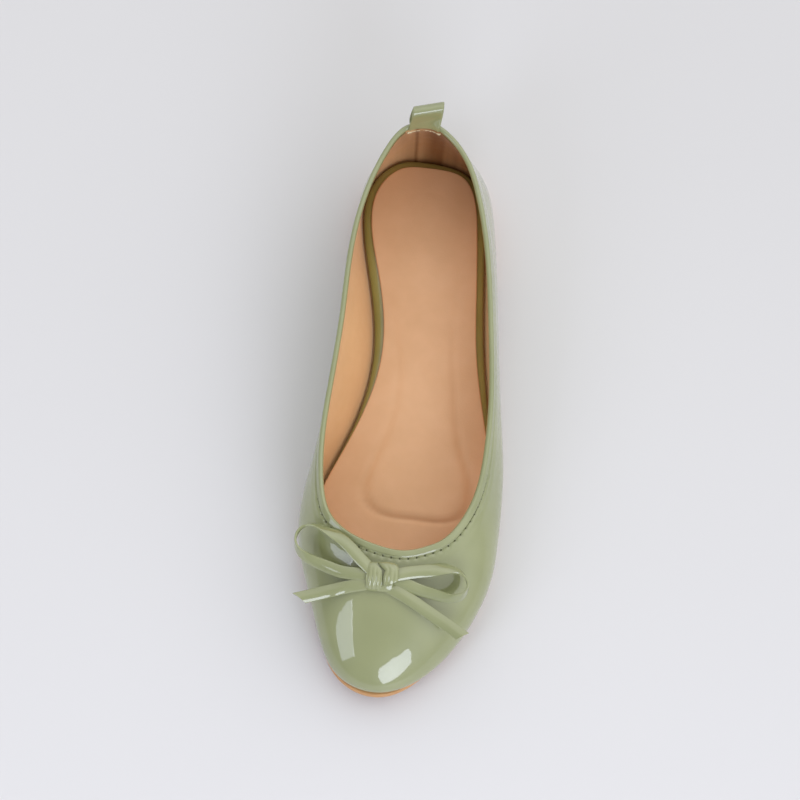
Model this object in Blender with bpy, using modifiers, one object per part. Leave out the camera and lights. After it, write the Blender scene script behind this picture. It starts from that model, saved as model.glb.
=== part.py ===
"""A left ballet flat: patent upper on a thin outsole with a low heel, a bound topline, a covered
insole with a leather sock, a pull loop at the back and a ribbon bow on the vamp.

Metres, +Z up. The origin is on the floor under the heel's centre, -Y points to the toe and +X to the
outer (lateral) side of the foot.
"""

import math

import bmesh
import bpy
import numpy as np
from mathutils import Vector
from mathutils.bvhtree import BVHTree

# Driving sizes of the shoe
LENGTH = 0.240  # outsole, heel to toe
BALL_WIDTH = 0.080  # upper's feather edge across the ball
HEEL_TO_ORIGIN = 0.030  # from the back of the outsole to the origin
HEEL_LIFT = 0.0085  # underside of the outsole at the heel, above the floor
TOE_SPRING = 0.0060  # underside of the outsole at the toe tip, above the floor
BACK_HEIGHT = 0.0485  # topline at the heel, above the outsole
THROAT_HEIGHT = 0.0335  # topline at the throat, above the outsole

# Thicknesses and clearances
SOLE_THICKNESS = 0.0035
SOLE_MARGIN = 0.0010  # how far the outsole stands out past the upper's feather edge
SOLE_BEVEL = 0.25  # bevel of its edges, share of its thickness
WALL = 0.0013  # upper with its lining
INSOLE_THICKNESS = 0.0038
RAND_WIDTH = 0.0034  # sloping covered edge of the insole, where it is widest
RAND_SLOPE = ((0.25, 0.0), (0.75, 0.45), (1.0, 1.0))  # up, share of the thickness, and in, of the width
SOCK_THICKNESS = 0.0012
SOCK_BEVEL = 0.6  # bevel of its edge, share of its thickness
GAP = 0.0003  # between pieces that touch

# Heel block
HEEL_LENGTH = 0.052  # back of the outsole to the heel's front face
HEEL_INSET = 0.0010  # heel's top edge inside the outsole's edge
HEEL_TAPER = 0.0014  # how much further in its bottom edge is
HEEL_BEVEL = 0.0007  # round its bottom face
HEEL_POINTS = 19  # along each side of it

# Binding round the topline
BINDING_DEPTH = 0.0022  # down the outside
BINDING_INNER_DEPTH = 0.0030  # down the inside
BINDING_THICKNESS = 0.0005

# Pull loop at the back
LOOP_WIDTH = 0.0130
LOOP_THICKNESS = 0.0011
LOOP_RISE = 0.0105  # above the topline
LOOP_DEPTH = 0.0042  # front to back at its top, centre to centre
LOOP_LEAN = 0.0041  # how far its top leans back
LOOP_TURN = 15.0  # degrees that its top is turned, outer end back
LOOP_SWAY = 0.0011  # how far its foot is to the inner side of its top
LOOP_TAIL = 0.0120  # sewn down the back, below the topline
LOOP_TAIL_START = 0.125  # where that begins, share of it
LOOP_SLACK = 0.0003  # more than GAP between it and the binding, whose curve it spans
LOOP_SPRING = 0.0008  # how far it stands off the back just above the topline
LOOP_SPRING_RISE = 0.0020  # and how high that is
# Its path from inside the shoe over its top
#   over: from the place of its foot to the place of its top, share of the way
#   depth: further back, share of LOOP_DEPTH
#   rise: above the topline, share of LOOP_RISE
LOOP_TABLE = (
    (0.00, 0.00, -0.11),
    (0.00, 0.00, 0.02),
    (0.42, 0.00, 0.45),
    (1.00, -0.09, 0.83),
    (1.00, 0.21, 0.95),
    (1.00, 0.75, 0.85),
    (1.00, 1.00, 0.66),
)

# Bow
RIBBON_WIDTH = 0.0050
RIBBON_THICKNESS = 0.0010
BOW_REACH = 0.0370  # centre of the knot to the tip of the longer loop
BOW_SETBACK = 0.0114  # throat's front edge to the centre of the knot
BOW_SHIFT = 0.0049  # throat's middle to the centre of the knot, to the inner side
TAIL_CUTS = {"bow_tail_inner": -0.0044, "bow_tail_outer": 0.0030}  # one edge longer than the other
KNOT_SIZE = (0.0125, 0.0110, 0.0058)
KNOT_SQUARENESS = 0.72  # 1 is round, less is squarer

# Mesh density
RIBS = 80  # ribs round the upper, an even number
RIB_STEPS = 10
SOLE_STEPS = 4  # divisions across the outsole and insole
LOOP_STEPS, TAIL_STEPS = 30, 12  # along a ribbon or the pull loop
BACK_RIBS = 14  # ribs each side of the heel's back that the pull loop may span
LOOP_STRIPS = 6  # across the pull loop
TAIL_POINTS = 4  # of the pull loop's path down the back
VAMP_STEPS = 24  # up the surface that the bow is laid on
RIBBON_PROBES = 5  # across a ribbon, where its height over the vamp is felt
KNOT_SEGMENTS, KNOT_RINGS = 20, 12

# Colours, linear RGB
PATENT_GREEN = (0.36, 0.40, 0.20, 1.0)
RAND_GREEN = (0.27, 0.29, 0.12, 1.0)
SOLE_TAN = (0.52, 0.27, 0.11, 1.0)
SOCK_TAN = (0.62, 0.37, 0.20, 1.0)

# Sections of the upper, round the last from the heel's back, along the outer side to the toe and back
# along the inner side. Each is one rib, from the feather edge up to the topline.
#   foot_y, top_y: place along the shoe of the rib's foot and top, share of LENGTH from the back
#   foot_x, top_x: place across the shoe, share of BALL_WIDTH
#   climb: topline's height, 0 as high as the throat and 1 as high as the back
#   low_out, low_up: lower handle, outwards as a share of BALL_WIDTH and up as a share of the rib
#   high_out, high_down: upper handle, the same way
#   rand: width of the insole's covered edge, share of RAND_WIDTH
#   margin: how far the outsole stands out past the foot, share of SOLE_MARGIN
RIB_COLUMNS = (
    "foot_y foot_x top_y top_x climb low_out low_up high_out high_down rand margin".split()
)
RIB_TABLE = {
    "heel_back": (0.006, 0.020, 0.024, 0.000, 1.00, 0.050, 0.30, 0.070, 0.40, 1.0, 1.0),
    "heel_outer_back": (0.021, 0.223, 0.033, 0.095, 0.93, 0.036, 0.30, 0.050, 0.40, 0.75, 1.0),
    "heel_outer": (0.072, 0.342, 0.073, 0.215, 0.80, 0.046, 0.30, 0.052, 0.40, 0.85, 1.0),
    "heel_outer_front": (0.142, 0.378, 0.142, 0.305, 0.68, 0.062, 0.32, 0.055, 0.38, 0.9, 1.0),
    "waist_outer_back": (0.270, 0.400, 0.270, 0.388, 0.50, 0.068, 0.34, 0.055, 0.36, 0.85, 1.0),
    "waist_outer": (0.383, 0.430, 0.383, 0.428, 0.39, 0.064, 0.34, 0.055, 0.36, 0.9, 1.0),
    "waist_outer_front": (0.500, 0.482, 0.500, 0.456, 0.29, 0.062, 0.36, 0.060, 0.36, 0.5, 1.0),
    "ball_outer": (0.610, 0.520, 0.595, 0.452, 0.17, 0.066, 0.38, 0.090, 0.34, 0.1, 0.9),
    "ball_outer_front": (0.720, 0.517, 0.680, 0.405, 0.06, 0.078, 0.42, 0.130, 0.32, 0.1, 0.5),
    "toe_outer": (0.819, 0.467, 0.742, 0.293, 0.01, 0.092, 0.51, 0.250, 0.28, 0.1, 0.3),
    "toe_outer_front": (0.923, 0.311, 0.765, 0.183, 0.00, 0.078, 0.30, 0.298, 0.24, 0.1, -0.8),
    "toe_tip": (0.9940, 0.010, 0.776, 0.035, 0.00, 0.056, 0.33, 0.370, 0.23, 0.1, 1.45),
    "toe_inner_front": (0.960, -0.248, 0.764, -0.136, 0.00, 0.048, 0.46, 0.292, 0.26, 0.1, 0.3),
    "toe_inner": (0.854, -0.362, 0.743, -0.268, 0.01, 0.075, 0.43, 0.217, 0.29, 0.1, 0.7),
    "ball_inner_front": (0.752, -0.454, 0.705, -0.364, 0.05, 0.069, 0.42, 0.115, 0.32, 0.1, 0.9),
    "ball_inner": (0.650, -0.434, 0.617, -0.408, 0.13, 0.060, 0.38, 0.060, 0.34, 0.1, 1.0),
    "waist_inner_front": (0.540, -0.305, 0.535, -0.402, 0.22, 0.045, 0.36, 0.025, 0.34, 0.25, 1.0),
    "waist_inner": (0.375, -0.207, 0.375, -0.363, 0.39, 0.030, 0.34, 0.025, 0.34, 1.0, 1.0),
    "waist_inner_back": (0.250, -0.262, 0.250, -0.345, 0.53, 0.030, 0.32, 0.030, 0.36, 1.1, 1.0),
    "heel_inner_front": (0.142, -0.322, 0.142, -0.285, 0.68, 0.028, 0.32, 0.030, 0.38, 0.9, 1.0),
    "heel_inner": (0.060, -0.287, 0.072, -0.203, 0.80, 0.022, 0.30, 0.032, 0.40, 1.0, 1.0),
    "heel_inner_back": (0.011, -0.140, 0.031, -0.105, 0.93, 0.030, 0.30, 0.045, 0.40, 1.05, 1.0),
}
HEEL_ROW, TOE_ROW = "heel_back", "toe_tip"

# Underside of the outsole along the shoe: how much of HEEL_LIFT and of TOE_SPRING it has
SOLE_COLUMNS = "along heel_lift toe_spring".split()
SOLE_TABLE = {
    "back": (0.00, 1.00, 0.00),
    "heel_front": (0.20, 1.00, 0.00),
    "waist": (0.40, 0.55, 0.00),
    "ball_back": (0.60, 0.00, 0.00),
    "ball_front": (0.74, 0.00, 0.00),
    "toe_root": (0.87, 0.00, 0.30),
    "toe": (1.00, 0.00, 1.00),
}

# Ribbons of the bow, each from the knot outwards. A loop comes back to the knot.
#   out: to the outer side from the knot, share of BOW_REACH
#   back: towards the heel from the knot, share of BOW_REACH
#   rise: above the vamp at the knot, share of RIBBON_WIDTH
#   roll: degrees that the ribbon is turned from lying flat, its left edge up
RIBBON_COLUMNS = "out back rise roll".split()
RIBBON_TABLES = {
    "bow_loop_inner": (
        (-0.180, 0.108, 0.84, 12),
        (-0.300, 0.210, 0.96, 12),
        (-0.430, 0.332, 1.10, 18),
        (-0.560, 0.422, 1.06, 30),
        (-0.700, 0.490, 0.86, 50),
        (-0.848, 0.540, 0.52, 72),
        (-0.956, 0.497, 0.26, 85),
        (-1.002, 0.410, 0.16, 90),
        (-0.994, 0.308, 0.12, 82),
        (-0.930, 0.222, 0.08, 65),
        (-0.814, 0.156, 0.06, 42),
        (-0.643, 0.098, 0.08, 22),
        (-0.472, 0.045, 0.22, 12),
        (-0.316, 0.033, 0.38, 8),
        (-0.178, 0.035, 0.50, 5),
    ),
    "bow_loop_outer": (
        (0.183, -0.026, 0.41, 5),
        (0.308, -0.062, 0.40, 8),
        (0.422, -0.095, 0.26, 12),
        (0.532, -0.116, 0.18, 18),
        (0.646, -0.138, 0.08, 28),
        (0.757, -0.149, 0.02, 45),
        (0.865, -0.119, 0.06, 70),
        (0.930, 0.008, 0.12, 90),
        (0.892, 0.097, 0.28, 80),
        (0.819, 0.151, 0.46, 62),
        (0.730, 0.159, 0.62, 45),
        (0.619, 0.146, 0.78, 28),
        (0.511, 0.124, 0.88, 18),
        (0.403, 0.103, 0.90, 12),
        (0.295, 0.081, 0.90, 10),
        (0.183, 0.052, 0.88, 10),
    ),
    "bow_tail_inner": (
        (-0.176, -0.066, 0.16, 3),
        (-0.350, -0.097, -0.14, 3),
        (-0.565, -0.151, -0.46, 3),
        (-0.727, -0.200, -0.62, 3),
        (-0.908, -0.257, -0.72, 3),
    ),
    "bow_tail_outer": (
        (0.166, -0.124, 0.10, 3),
        (0.286, -0.181, 0.00, 3),
        (0.470, -0.276, -0.36, 3),
        (0.668, -0.378, -0.78, 3),
        (0.919, -0.519, -1.14, 3),
    ),
}


def column(table, columns, name):
    rows = table.values() if isinstance(table, dict) else table
    return np.array([row[columns.index(name)] for row in rows], float)


def closed_spline(knots, period, values, at):
    """Smooth closed curve through values at the knots, read at the places in at."""
    count = len(knots)
    ends = np.append(knots, knots[0] + period)
    spans = np.diff(ends)
    rises = np.roll(values, -1, axis=0) - values
    slopes = rises / spans[:, None]
    before = np.roll(spans, 1)
    matrix = np.zeros((count, count))
    for i in range(count):
        matrix[i, i - 1] += before[i]
        matrix[i, i] += 2 * (before[i] + spans[i])
        matrix[i, (i + 1) % count] += spans[i]
    bends = np.linalg.solve(matrix, 6 * (slopes - np.roll(slopes, 1, axis=0)))
    place = knots[0] + np.mod(at - knots[0], period)
    i = np.clip(np.searchsorted(ends, place, side="right") - 1, 0, count - 1)
    j = (i + 1) % count
    span = spans[i][:, None]
    b = (place - ends[i])[:, None] / span
    a = 1 - b
    straight = a * values[i] + b * values[j]
    return straight + ((a**3 - a) * bends[i] + (b**3 - b) * bends[j]) * span**2 / 6


def eased(at, places, values):
    """Curve through values with no overshoot, so that level stretches stay level."""
    spans = np.diff(places)
    slopes = np.diff(values) / spans
    tilt = np.zeros(len(places))
    for i in range(1, len(places) - 1):
        if slopes[i - 1] * slopes[i] > 0:
            tilt[i] = 2 * slopes[i - 1] * slopes[i] / (slopes[i - 1] + slopes[i])
    tilt[-1] = slopes[-1] * 1.4
    at = np.clip(at, places[0], places[-1])
    i = np.clip(np.searchsorted(places, at, side="right") - 1, 0, len(spans) - 1)
    span = spans[i]
    b = (at - places[i]) / span
    rise = (3 - 2 * b) * b**2
    ease_in = b * (1 - b) ** 2 * span * tilt[i]
    ease_out = b**2 * (1 - b) * span * tilt[i + 1]
    return values[i] * (1 - rise) + values[i + 1] * rise + ease_in - ease_out


def along_to_y(along):
    return HEEL_TO_ORIGIN - along * LENGTH


def y_to_along(y):
    return (HEEL_TO_ORIGIN - y) / LENGTH


def sole_underside(y):
    """Height of the outsole's underside at a place along the shoe."""
    along = np.atleast_1d(y_to_along(np.asarray(y, float)))
    places = column(SOLE_TABLE, SOLE_COLUMNS, "along")
    heel = eased(along, places, column(SOLE_TABLE, SOLE_COLUMNS, "heel_lift"))
    toe = eased(along, places, column(SOLE_TABLE, SOLE_COLUMNS, "toe_spring"))
    return (heel * HEEL_LIFT + toe * TOE_SPRING).reshape(np.shape(y))


def sole_top(y):
    return sole_underside(y) + SOLE_THICKNESS


def outward(points):
    """Level unit normals that point out of a closed ring of points, which runs clockwise from above."""
    run = np.roll(points, -1, axis=0) - np.roll(points, 1, axis=0)
    normal = np.stack([-run[:, 1], run[:, 0], np.zeros(len(run))], axis=1)
    return normal / np.linalg.norm(normal, axis=1)[:, None]


class Last:
    """The upper's outer face as ribs round the foot, and the rings and offsets that other pieces follow."""

    def __init__(self, ribs):
        value = {name: column(RIB_TABLE, RIB_COLUMNS, name) for name in RIB_COLUMNS}
        foot = np.stack([value["foot_x"] * BALL_WIDTH, along_to_y(value["foot_y"])], 1)
        top = np.stack([value["top_x"] * BALL_WIDTH, along_to_y(value["top_y"])], 1)
        steps = [
            np.linalg.norm(np.roll(ring, -1, axis=0) - ring, axis=1) for ring in (foot, top)
        ]
        step = sum(steps) / 2
        knots = np.append(0, np.cumsum(step)[:-1])
        names = list(RIB_TABLE)
        toe = knots[names.index(TOE_ROW)]
        half = ribs // 2
        outer = np.linspace(0, toe, half, endpoint=False)
        inner = np.linspace(toe, step.sum(), ribs - half, endpoint=False)
        shapes = "climb low_out low_up high_out high_down rand margin".split()
        table = np.column_stack([foot, top] + [value[name] for name in shapes])
        smooth = closed_spline(knots, step.sum(), table, np.concatenate([outer, inner]))
        climb, low_out, low_up, high_out, high_down, rand, margin = smooth[:, 4:].T
        foot_z = sole_top(smooth[:, 1]) + GAP
        top_z = THROAT_HEIGHT + (BACK_HEIGHT - THROAT_HEIGHT) * climb + sole_top(smooth[:, 3])
        self.foot = np.column_stack([smooth[:, 0:2], foot_z])
        self.top = np.column_stack([smooth[:, 2:4], top_z])
        self.foot_out = outward(self.foot)
        self.top_out = outward(self.top)
        height = (top_z - foot_z)[:, None]
        up = np.array([0, 0, 1])
        low = self.foot_out * low_out[:, None] * BALL_WIDTH + up * low_up[:, None] * height
        high = self.top_out * high_out[:, None] * BALL_WIDTH - up * high_down[:, None] * height
        self.handles = (self.foot, self.foot + low, self.top + high, self.top)
        self.rand = np.clip(rand, 0.1, None) * RAND_WIDTH
        self.margin = margin * SOLE_MARGIN

    def at(self, share, lift=0.0):
        """Ring of points at a share of each rib's run, 0 at its foot and 1 at the topline, lifted off."""
        p0, p1, p2, p3 = self.handles
        t = np.broadcast_to(share, len(p0))[:, None]
        point = (1 - t) ** 3 * p0 + 3 * t * (1 - t) ** 2 * p1
        point = point + 3 * t**2 * (1 - t) * p2 + t**3 * p3
        if np.any(lift):
            point = point + self.normal(share, point) * np.broadcast_to(lift, len(p0))[:, None]
        return point

    def upwards(self, share):
        p0, p1, p2, p3 = self.handles
        t = np.broadcast_to(share, len(p0))[:, None]
        run = (1 - t) ** 2 * (p1 - p0) + 2 * t * (1 - t) * (p2 - p1) + t**2 * (p3 - p2)
        return run * 3

    def normal(self, share, ring):
        round_run = np.roll(ring, -1, axis=0) - np.roll(ring, 1, axis=0)
        normal = np.cross(self.upwards(share), round_run)
        return normal / np.linalg.norm(normal, axis=1)[:, None]

    def below_topline(self, depth):
        """Share of the run that is this far down each rib from the topline."""
        return 1 - depth / np.linalg.norm(self.upwards(1.0), axis=1)


def material(name, colour, roughness, coat=0.0):
    made = bpy.data.materials.new(name)
    made.use_nodes = True
    surface = made.node_tree.nodes["Principled BSDF"]
    surface.inputs["Base Color"].default_value = colour
    surface.inputs["Roughness"].default_value = roughness
    surface.inputs["Coat Weight"].default_value = coat
    made.diffuse_color = colour
    return made


def new_object(name, mesh, shade, parent):
    mesh.materials.append(shade)
    made = bpy.data.objects.new(name, mesh)
    parent.users_collection[0].objects.link(made)
    made.parent = parent
    return made


def lofted(name, rings, closed, shade, parent):
    """Mesh through rings of points, joined ring to ring. Closed rings make a tube with capped ends,
    open ones make a sheet."""
    size = len(rings[0])
    shape = bmesh.new()
    verts = [[shape.verts.new(point) for point in ring] for ring in rings]
    for near, far in zip(verts, verts[1:]):
        for j in range(size if closed else size - 1):
            k = (j + 1) % size
            shape.faces.new((near[j], near[k], far[k], far[j]))
    if closed:
        shape.faces.new(verts[0][::-1])
        shape.faces.new(verts[-1])
    return finished(shape, name, shade, parent)


def solidify(made, thickness, offset):
    shell = made.modifiers.new("wall", "SOLIDIFY")
    shell.thickness = thickness
    shell.offset = offset
    shell.use_quality_normals = True
    return made


def rungs(ring):
    """Pairs of points of a closed ring, outer side and inner side, from the heel's back to the toe."""
    half = len(ring) // 2
    return [(ring[k], ring[-k % len(ring)]) for k in range(half + 1)]


def join_rings(shape, sides):
    for low, high in zip(sides, sides[1:]):
        for i in range(len(low)):
            j = (i + 1) % len(low)
            shape.faces.new((low[i], low[j], high[j], high[i]))


def crossing_rows(shape, pairs, height, steps):
    """Rows of vertices from the outer side to the inner side, at a height that the place along sets."""
    rows = []
    for outer, inner in pairs:
        row = [outer]
        for share in np.linspace(0, 1, steps + 1)[1:-1]:
            x, y, _ = outer.co.lerp(inner.co, share)
            row.append(shape.verts.new((x, y, float(height(np.array([y]))[0]))))
        rows.append(row + [inner])
    return rows


def join_rows(shape, rows, *tips):
    """Faces between rows of vertices, and from the first and last row to the tips beyond them."""
    for near, far in zip(rows, rows[1:]):
        for k in range(len(near) - 1):
            shape.faces.new((near[k], near[k + 1], far[k + 1], far[k]))
    for tip, row in zip(tips, (rows[0], rows[-1])):
        for k in range(len(row) - 1):
            shape.faces.new((tip, row[k], row[k + 1]))


def finished(shape, name, shade, parent):
    bmesh.ops.recalc_face_normals(shape, faces=shape.faces)
    mesh = bpy.data.meshes.new(name)
    shape.to_mesh(mesh)
    shape.free()
    mesh.shade_smooth()
    mesh.set_sharp_from_angle(angle=math.radians(35))
    return new_object(name, mesh, shade, parent)


def layered(name, levels, steps, shade, parent):
    """Solid between outlines. levels is a list of rings from the bottom up, each a function for the
    height at a place along the shoe and a ring of plan points. The first and last are filled across."""
    shape = bmesh.new()
    sides = []
    for height, ring in levels:
        z = height(ring[:, 1])
        sides.append([shape.verts.new((p[0], p[1], q)) for p, q in zip(ring, z)])
    join_rings(shape, sides)
    for (height, _), side in ((levels[0], sides[0]), (levels[-1], sides[-1])):
        pairs = rungs(side)
        rows = crossing_rows(shape, pairs[1:-1], height, steps)
        join_rows(shape, rows, pairs[0][0], pairs[-1][0])
    return finished(shape, name, shade, parent)


def plan_offset(last, distance):
    """The feather edge's plan, moved outwards by a distance, which can differ from rib to rib."""
    return last.foot + last.foot_out * np.broadcast_to(distance, len(last.foot))[:, None]


def make_outsole(last, shade, parent):
    bevel = SOLE_THICKNESS * SOLE_BEVEL
    edge = plan_offset(last, last.margin)
    face = plan_offset(last, last.margin - bevel)
    levels = [
        (sole_underside, face),
        (lambda y: sole_underside(y) + bevel, edge),
        (lambda y: sole_top(y) - bevel, edge),
        (sole_top, face),
    ]
    return layered("outsole", levels, SOLE_STEPS, shade, parent)


def heel_side(side, front, count):
    """One side of the outsole's outline as far as the heel's front face, as evenly spread points."""
    kept = side[side[:, 1] > front + HEEL_TAPER]
    x = np.interp(-front, -side[:, 1], side[:, 0])
    kept = np.vstack([kept, (x, front, 0.0)])
    at = np.linspace(0, len(kept) - 1, count)
    return np.column_stack([np.interp(at, np.arange(len(kept)), kept[:, k]) for k in range(3)])


def make_heel(last, shade, parent):
    """Block under the outsole's back, cut off square in front. Its rings run like the outsole's."""
    count, across = HEEL_POINTS, SOLE_STEPS
    front = along_to_y(HEEL_LENGTH / LENGTH)
    half = RIBS // 2
    levels = []
    for inset, height in (
        (HEEL_INSET + HEEL_TAPER + HEEL_BEVEL, lambda y: np.zeros(np.shape(y))),
        (HEEL_INSET + HEEL_TAPER, lambda y: np.full(np.shape(y), HEEL_BEVEL)),
        (HEEL_INSET, lambda y: sole_underside(y) - GAP),
    ):
        ring = plan_offset(last, last.margin - inset)
        outer = heel_side(ring[: half + 1], front, count)
        inner = heel_side(np.vstack([ring[:1], ring[: half - 1 : -1]]), front, count)
        face = np.linspace(outer[-1], inner[-1], across + 1)[1:-1]
        levels.append((height, outer, face, inner))
    shape = bmesh.new()
    sides = []
    for height, outer, face, inner in levels:
        ring = np.vstack([outer, face, inner[:0:-1]])
        sides.append([shape.verts.new((*p[:2], q)) for p, q in zip(ring, height(ring[:, 1]))])
    join_rings(shape, sides)
    for (height, *_), side in ((levels[0], sides[0]), (levels[-1], sides[-1])):
        inner = [side[0]] + side[: count + across - 2 : -1]
        pairs = list(zip(side[:count], inner))
        rows = crossing_rows(shape, pairs[1:-1], height, across)
        rows.append(side[count - 1 : count + across])
        join_rows(shape, rows, side[0])
    return finished(shape, "heel", shade, parent)


def make_insole(last, shade, parent):
    edge = -(WALL + 2 * GAP)

    def height(rise):
        return lambda y: sole_top(y) + GAP + INSOLE_THICKNESS * rise

    levels = [(height(0.0), plan_offset(last, edge))]
    for rise, inwards in RAND_SLOPE:
        levels.append((height(rise), plan_offset(last, edge - last.rand * inwards)))
    return layered("insole", levels, SOLE_STEPS, shade, parent)


def make_sock(last, shade, parent):
    edge = -(WALL + 3 * GAP) - last.rand
    bevel = SOCK_THICKNESS * SOCK_BEVEL

    def height(rise):
        return lambda y: sole_top(y) + INSOLE_THICKNESS + 2 * GAP + rise

    levels = [
        (height(0.0), plan_offset(last, edge)),
        (height(SOCK_THICKNESS - bevel), plan_offset(last, edge)),
        (height(SOCK_THICKNESS), plan_offset(last, edge - bevel)),
    ]
    return layered("insole_sock", levels, SOLE_STEPS, shade, parent)


def make_open_shell(name, rings, thickness, offset, shade, parent):
    """Open surface through closed rings, given a wall. The rings run from one rim to the other."""
    shape = bmesh.new()
    verts = [[shape.verts.new(point) for point in ring] for ring in rings]
    size = len(rings[0])
    for low, high in zip(verts, verts[1:]):
        for j in range(size):
            k = (j + 1) % size
            shape.faces.new((low[k], low[j], high[j], high[k]))
    mesh = bpy.data.meshes.new(name)
    shape.to_mesh(mesh)
    shape.free()
    mesh.shade_smooth()
    made = new_object(name, mesh, shade, parent)
    return solidify(made, thickness, offset)


def make_binding(last, shade, parent):
    """Strip folded over the topline: outer leg, half round and inner leg."""
    lift = GAP + BINDING_THICKNESS / 2
    middle = -WALL / 2
    radius = WALL / 2 + lift
    edge = last.at(1.0)
    normal = last.normal(1.0, edge)
    up = last.upwards(1.0)
    up /= np.linalg.norm(up, axis=1)[:, None]
    rings = [last.at(last.below_topline(BINDING_DEPTH), lift)]
    for angle in np.radians((0, 50, 90, 130, 180)):
        centre = edge + normal * middle + up * GAP
        rings.append(centre + (normal * math.cos(angle) + up * math.sin(angle)) * radius)
    rings.append(last.at(last.below_topline(BINDING_INNER_DEPTH), -WALL - lift))
    return make_open_shell(
        "topline_binding", rings, BINDING_THICKNESS, 0.0, shade, parent
    )


def swept(name, path, across, width, thickness, shade, parent, cut=0.0):
    """Flat strip along a path. across holds the direction of its width at each point. cut is how much
    further one edge runs than the other at the path's end."""
    path, across = np.array(path, float), np.array(across, float)
    run = np.gradient(path, axis=0)
    run /= np.linalg.norm(run, axis=1)[:, None]
    across -= run * np.sum(run * across, axis=1)[:, None]
    across /= np.linalg.norm(across, axis=1)[:, None]
    face = np.cross(run, across)
    half, deep = width / 2, thickness / 2
    corners = ((half, -deep), (half, deep), (-half, deep), (-half, -deep))
    rings = [
        [p + a * w + f * d for w, d in corners] for p, a, f in zip(path, across, face)
    ]
    rings[-1] = [p + run[-1] * cut * w / width for p, (w, _) in zip(rings[-1], corners)]
    return lofted(name, rings, True, shade, parent)


def smooth_path(points, steps):
    """Curve through points, read at even steps, with straight-running ends."""
    points = np.array(points, float)
    chord = np.append(0, np.cumsum(np.linalg.norm(np.diff(points[:, :3], axis=0), axis=1)))
    count = len(points)
    matrix = np.eye(count)
    right = np.zeros_like(points)
    spans = np.diff(chord)
    slopes = np.diff(points, axis=0) / spans[:, None]
    for i in range(1, count - 1):
        matrix[i, i - 1 : i + 2] = spans[i - 1], 2 * (spans[i - 1] + spans[i]), spans[i]
        right[i] = 6 * (slopes[i] - slopes[i - 1])
    bends = np.linalg.solve(matrix, right)
    at = np.linspace(0, chord[-1], steps + 1)
    i = np.clip(np.searchsorted(chord, at, side="right") - 1, 0, count - 2)
    span = spans[i][:, None]
    b = (at - chord[i])[:, None] / span
    a = 1 - b
    straight = a * points[i] + b * points[i + 1]
    return straight + ((a**3 - a) * bends[i] + (b**3 - b) * bends[i + 1]) * span**2 / 6


def back_profile(ring, x):
    """Place along the shoe and height of a ring, at a place across its back."""
    back = np.vstack([ring[-BACK_RIBS:], ring[: BACK_RIBS + 1]])
    order = np.argsort(back[:, 0])
    return [float(np.interp(x, back[order, 0], back[order, axis])) for axis in (1, 2)]


def make_pull_loop(last, shade, parent):
    """Strip that rises from inside the topline's back, folds over and is sewn down the outside."""
    away = 2 * GAP + BINDING_THICKNESS + LOOP_THICKNESS / 2 + LOOP_SLACK
    mid_y, mid_z = back_profile(last.top, last.top[0][0])
    top_y = mid_y - WALL - away + LOOP_LEAN
    turn = math.tan(math.radians(LOOP_TURN))
    inner_ring, outer_ring = last.at(1.0, -WALL - away), last.at(1.0, away)
    tail_rings = [
        last.at(last.below_topline(LOOP_TAIL * share), away) for share in np.linspace(LOOP_TAIL_START, 1, TAIL_POINTS)
    ]
    columns = []
    for share in np.linspace(-1, 1, LOOP_STRIPS + 1):
        top_x = last.top[0][0] + share * LOOP_WIDTH / 2
        foot_x = top_x - LOOP_SWAY
        foot_z = back_profile(last.top, foot_x)[1]
        foot = np.array([foot_x, back_profile(inner_ring, foot_x)[0], foot_z])
        top = np.array([top_x, top_y + turn * share * LOOP_WIDTH / 2, mid_z])
        points = [
            foot + (top - foot) * over + (0, depth * LOOP_DEPTH, rise * LOOP_RISE)
            for over, depth, rise in LOOP_TABLE
        ]
        spring_y = back_profile(outer_ring, foot_x)[0] + LOOP_SPRING
        points.append((foot_x, spring_y, foot_z + LOOP_SPRING_RISE))
        points += [(foot_x, *back_profile(ring, foot_x)) for ring in tail_rings]
        columns.append(smooth_path(points, LOOP_STEPS))
    made = lofted("pull_loop", columns, False, shade, parent)
    return solidify(made, LOOP_THICKNESS, 0.0)


class Vamp:
    """Where the bow lies: the upper's front, found by looking straight down on it."""

    def __init__(self, last):
        rings = [last.at(share) for share in np.linspace(0, 1, VAMP_STEPS + 1)]
        size = len(rings[0])
        points = [tuple(point) for ring in rings for point in ring]
        faces = []
        for i in range(len(rings) - 1):
            for j in range(size):
                k = (j + 1) % size
                faces.append((i * size + j, i * size + k, (i + 1) * size + k, (i + 1) * size + j))
        self.tree = BVHTree.FromPolygons(points, faces)
        throat = last.top[len(last.top) // 2]
        self.knot = Vector((throat[0] - BOW_SHIFT, throat[1] - BOW_SETBACK, 0.0))
        self.knot.z = self.height(self.knot.x, self.knot.y)

    def height(self, x, y):
        """Height of the upper at a place seen from above, 0 off the shoe."""
        spot = self.tree.ray_cast(Vector((x, y, 1.0)), Vector((0, 0, -1)))[0]
        return spot.z if spot else 0.0


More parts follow.
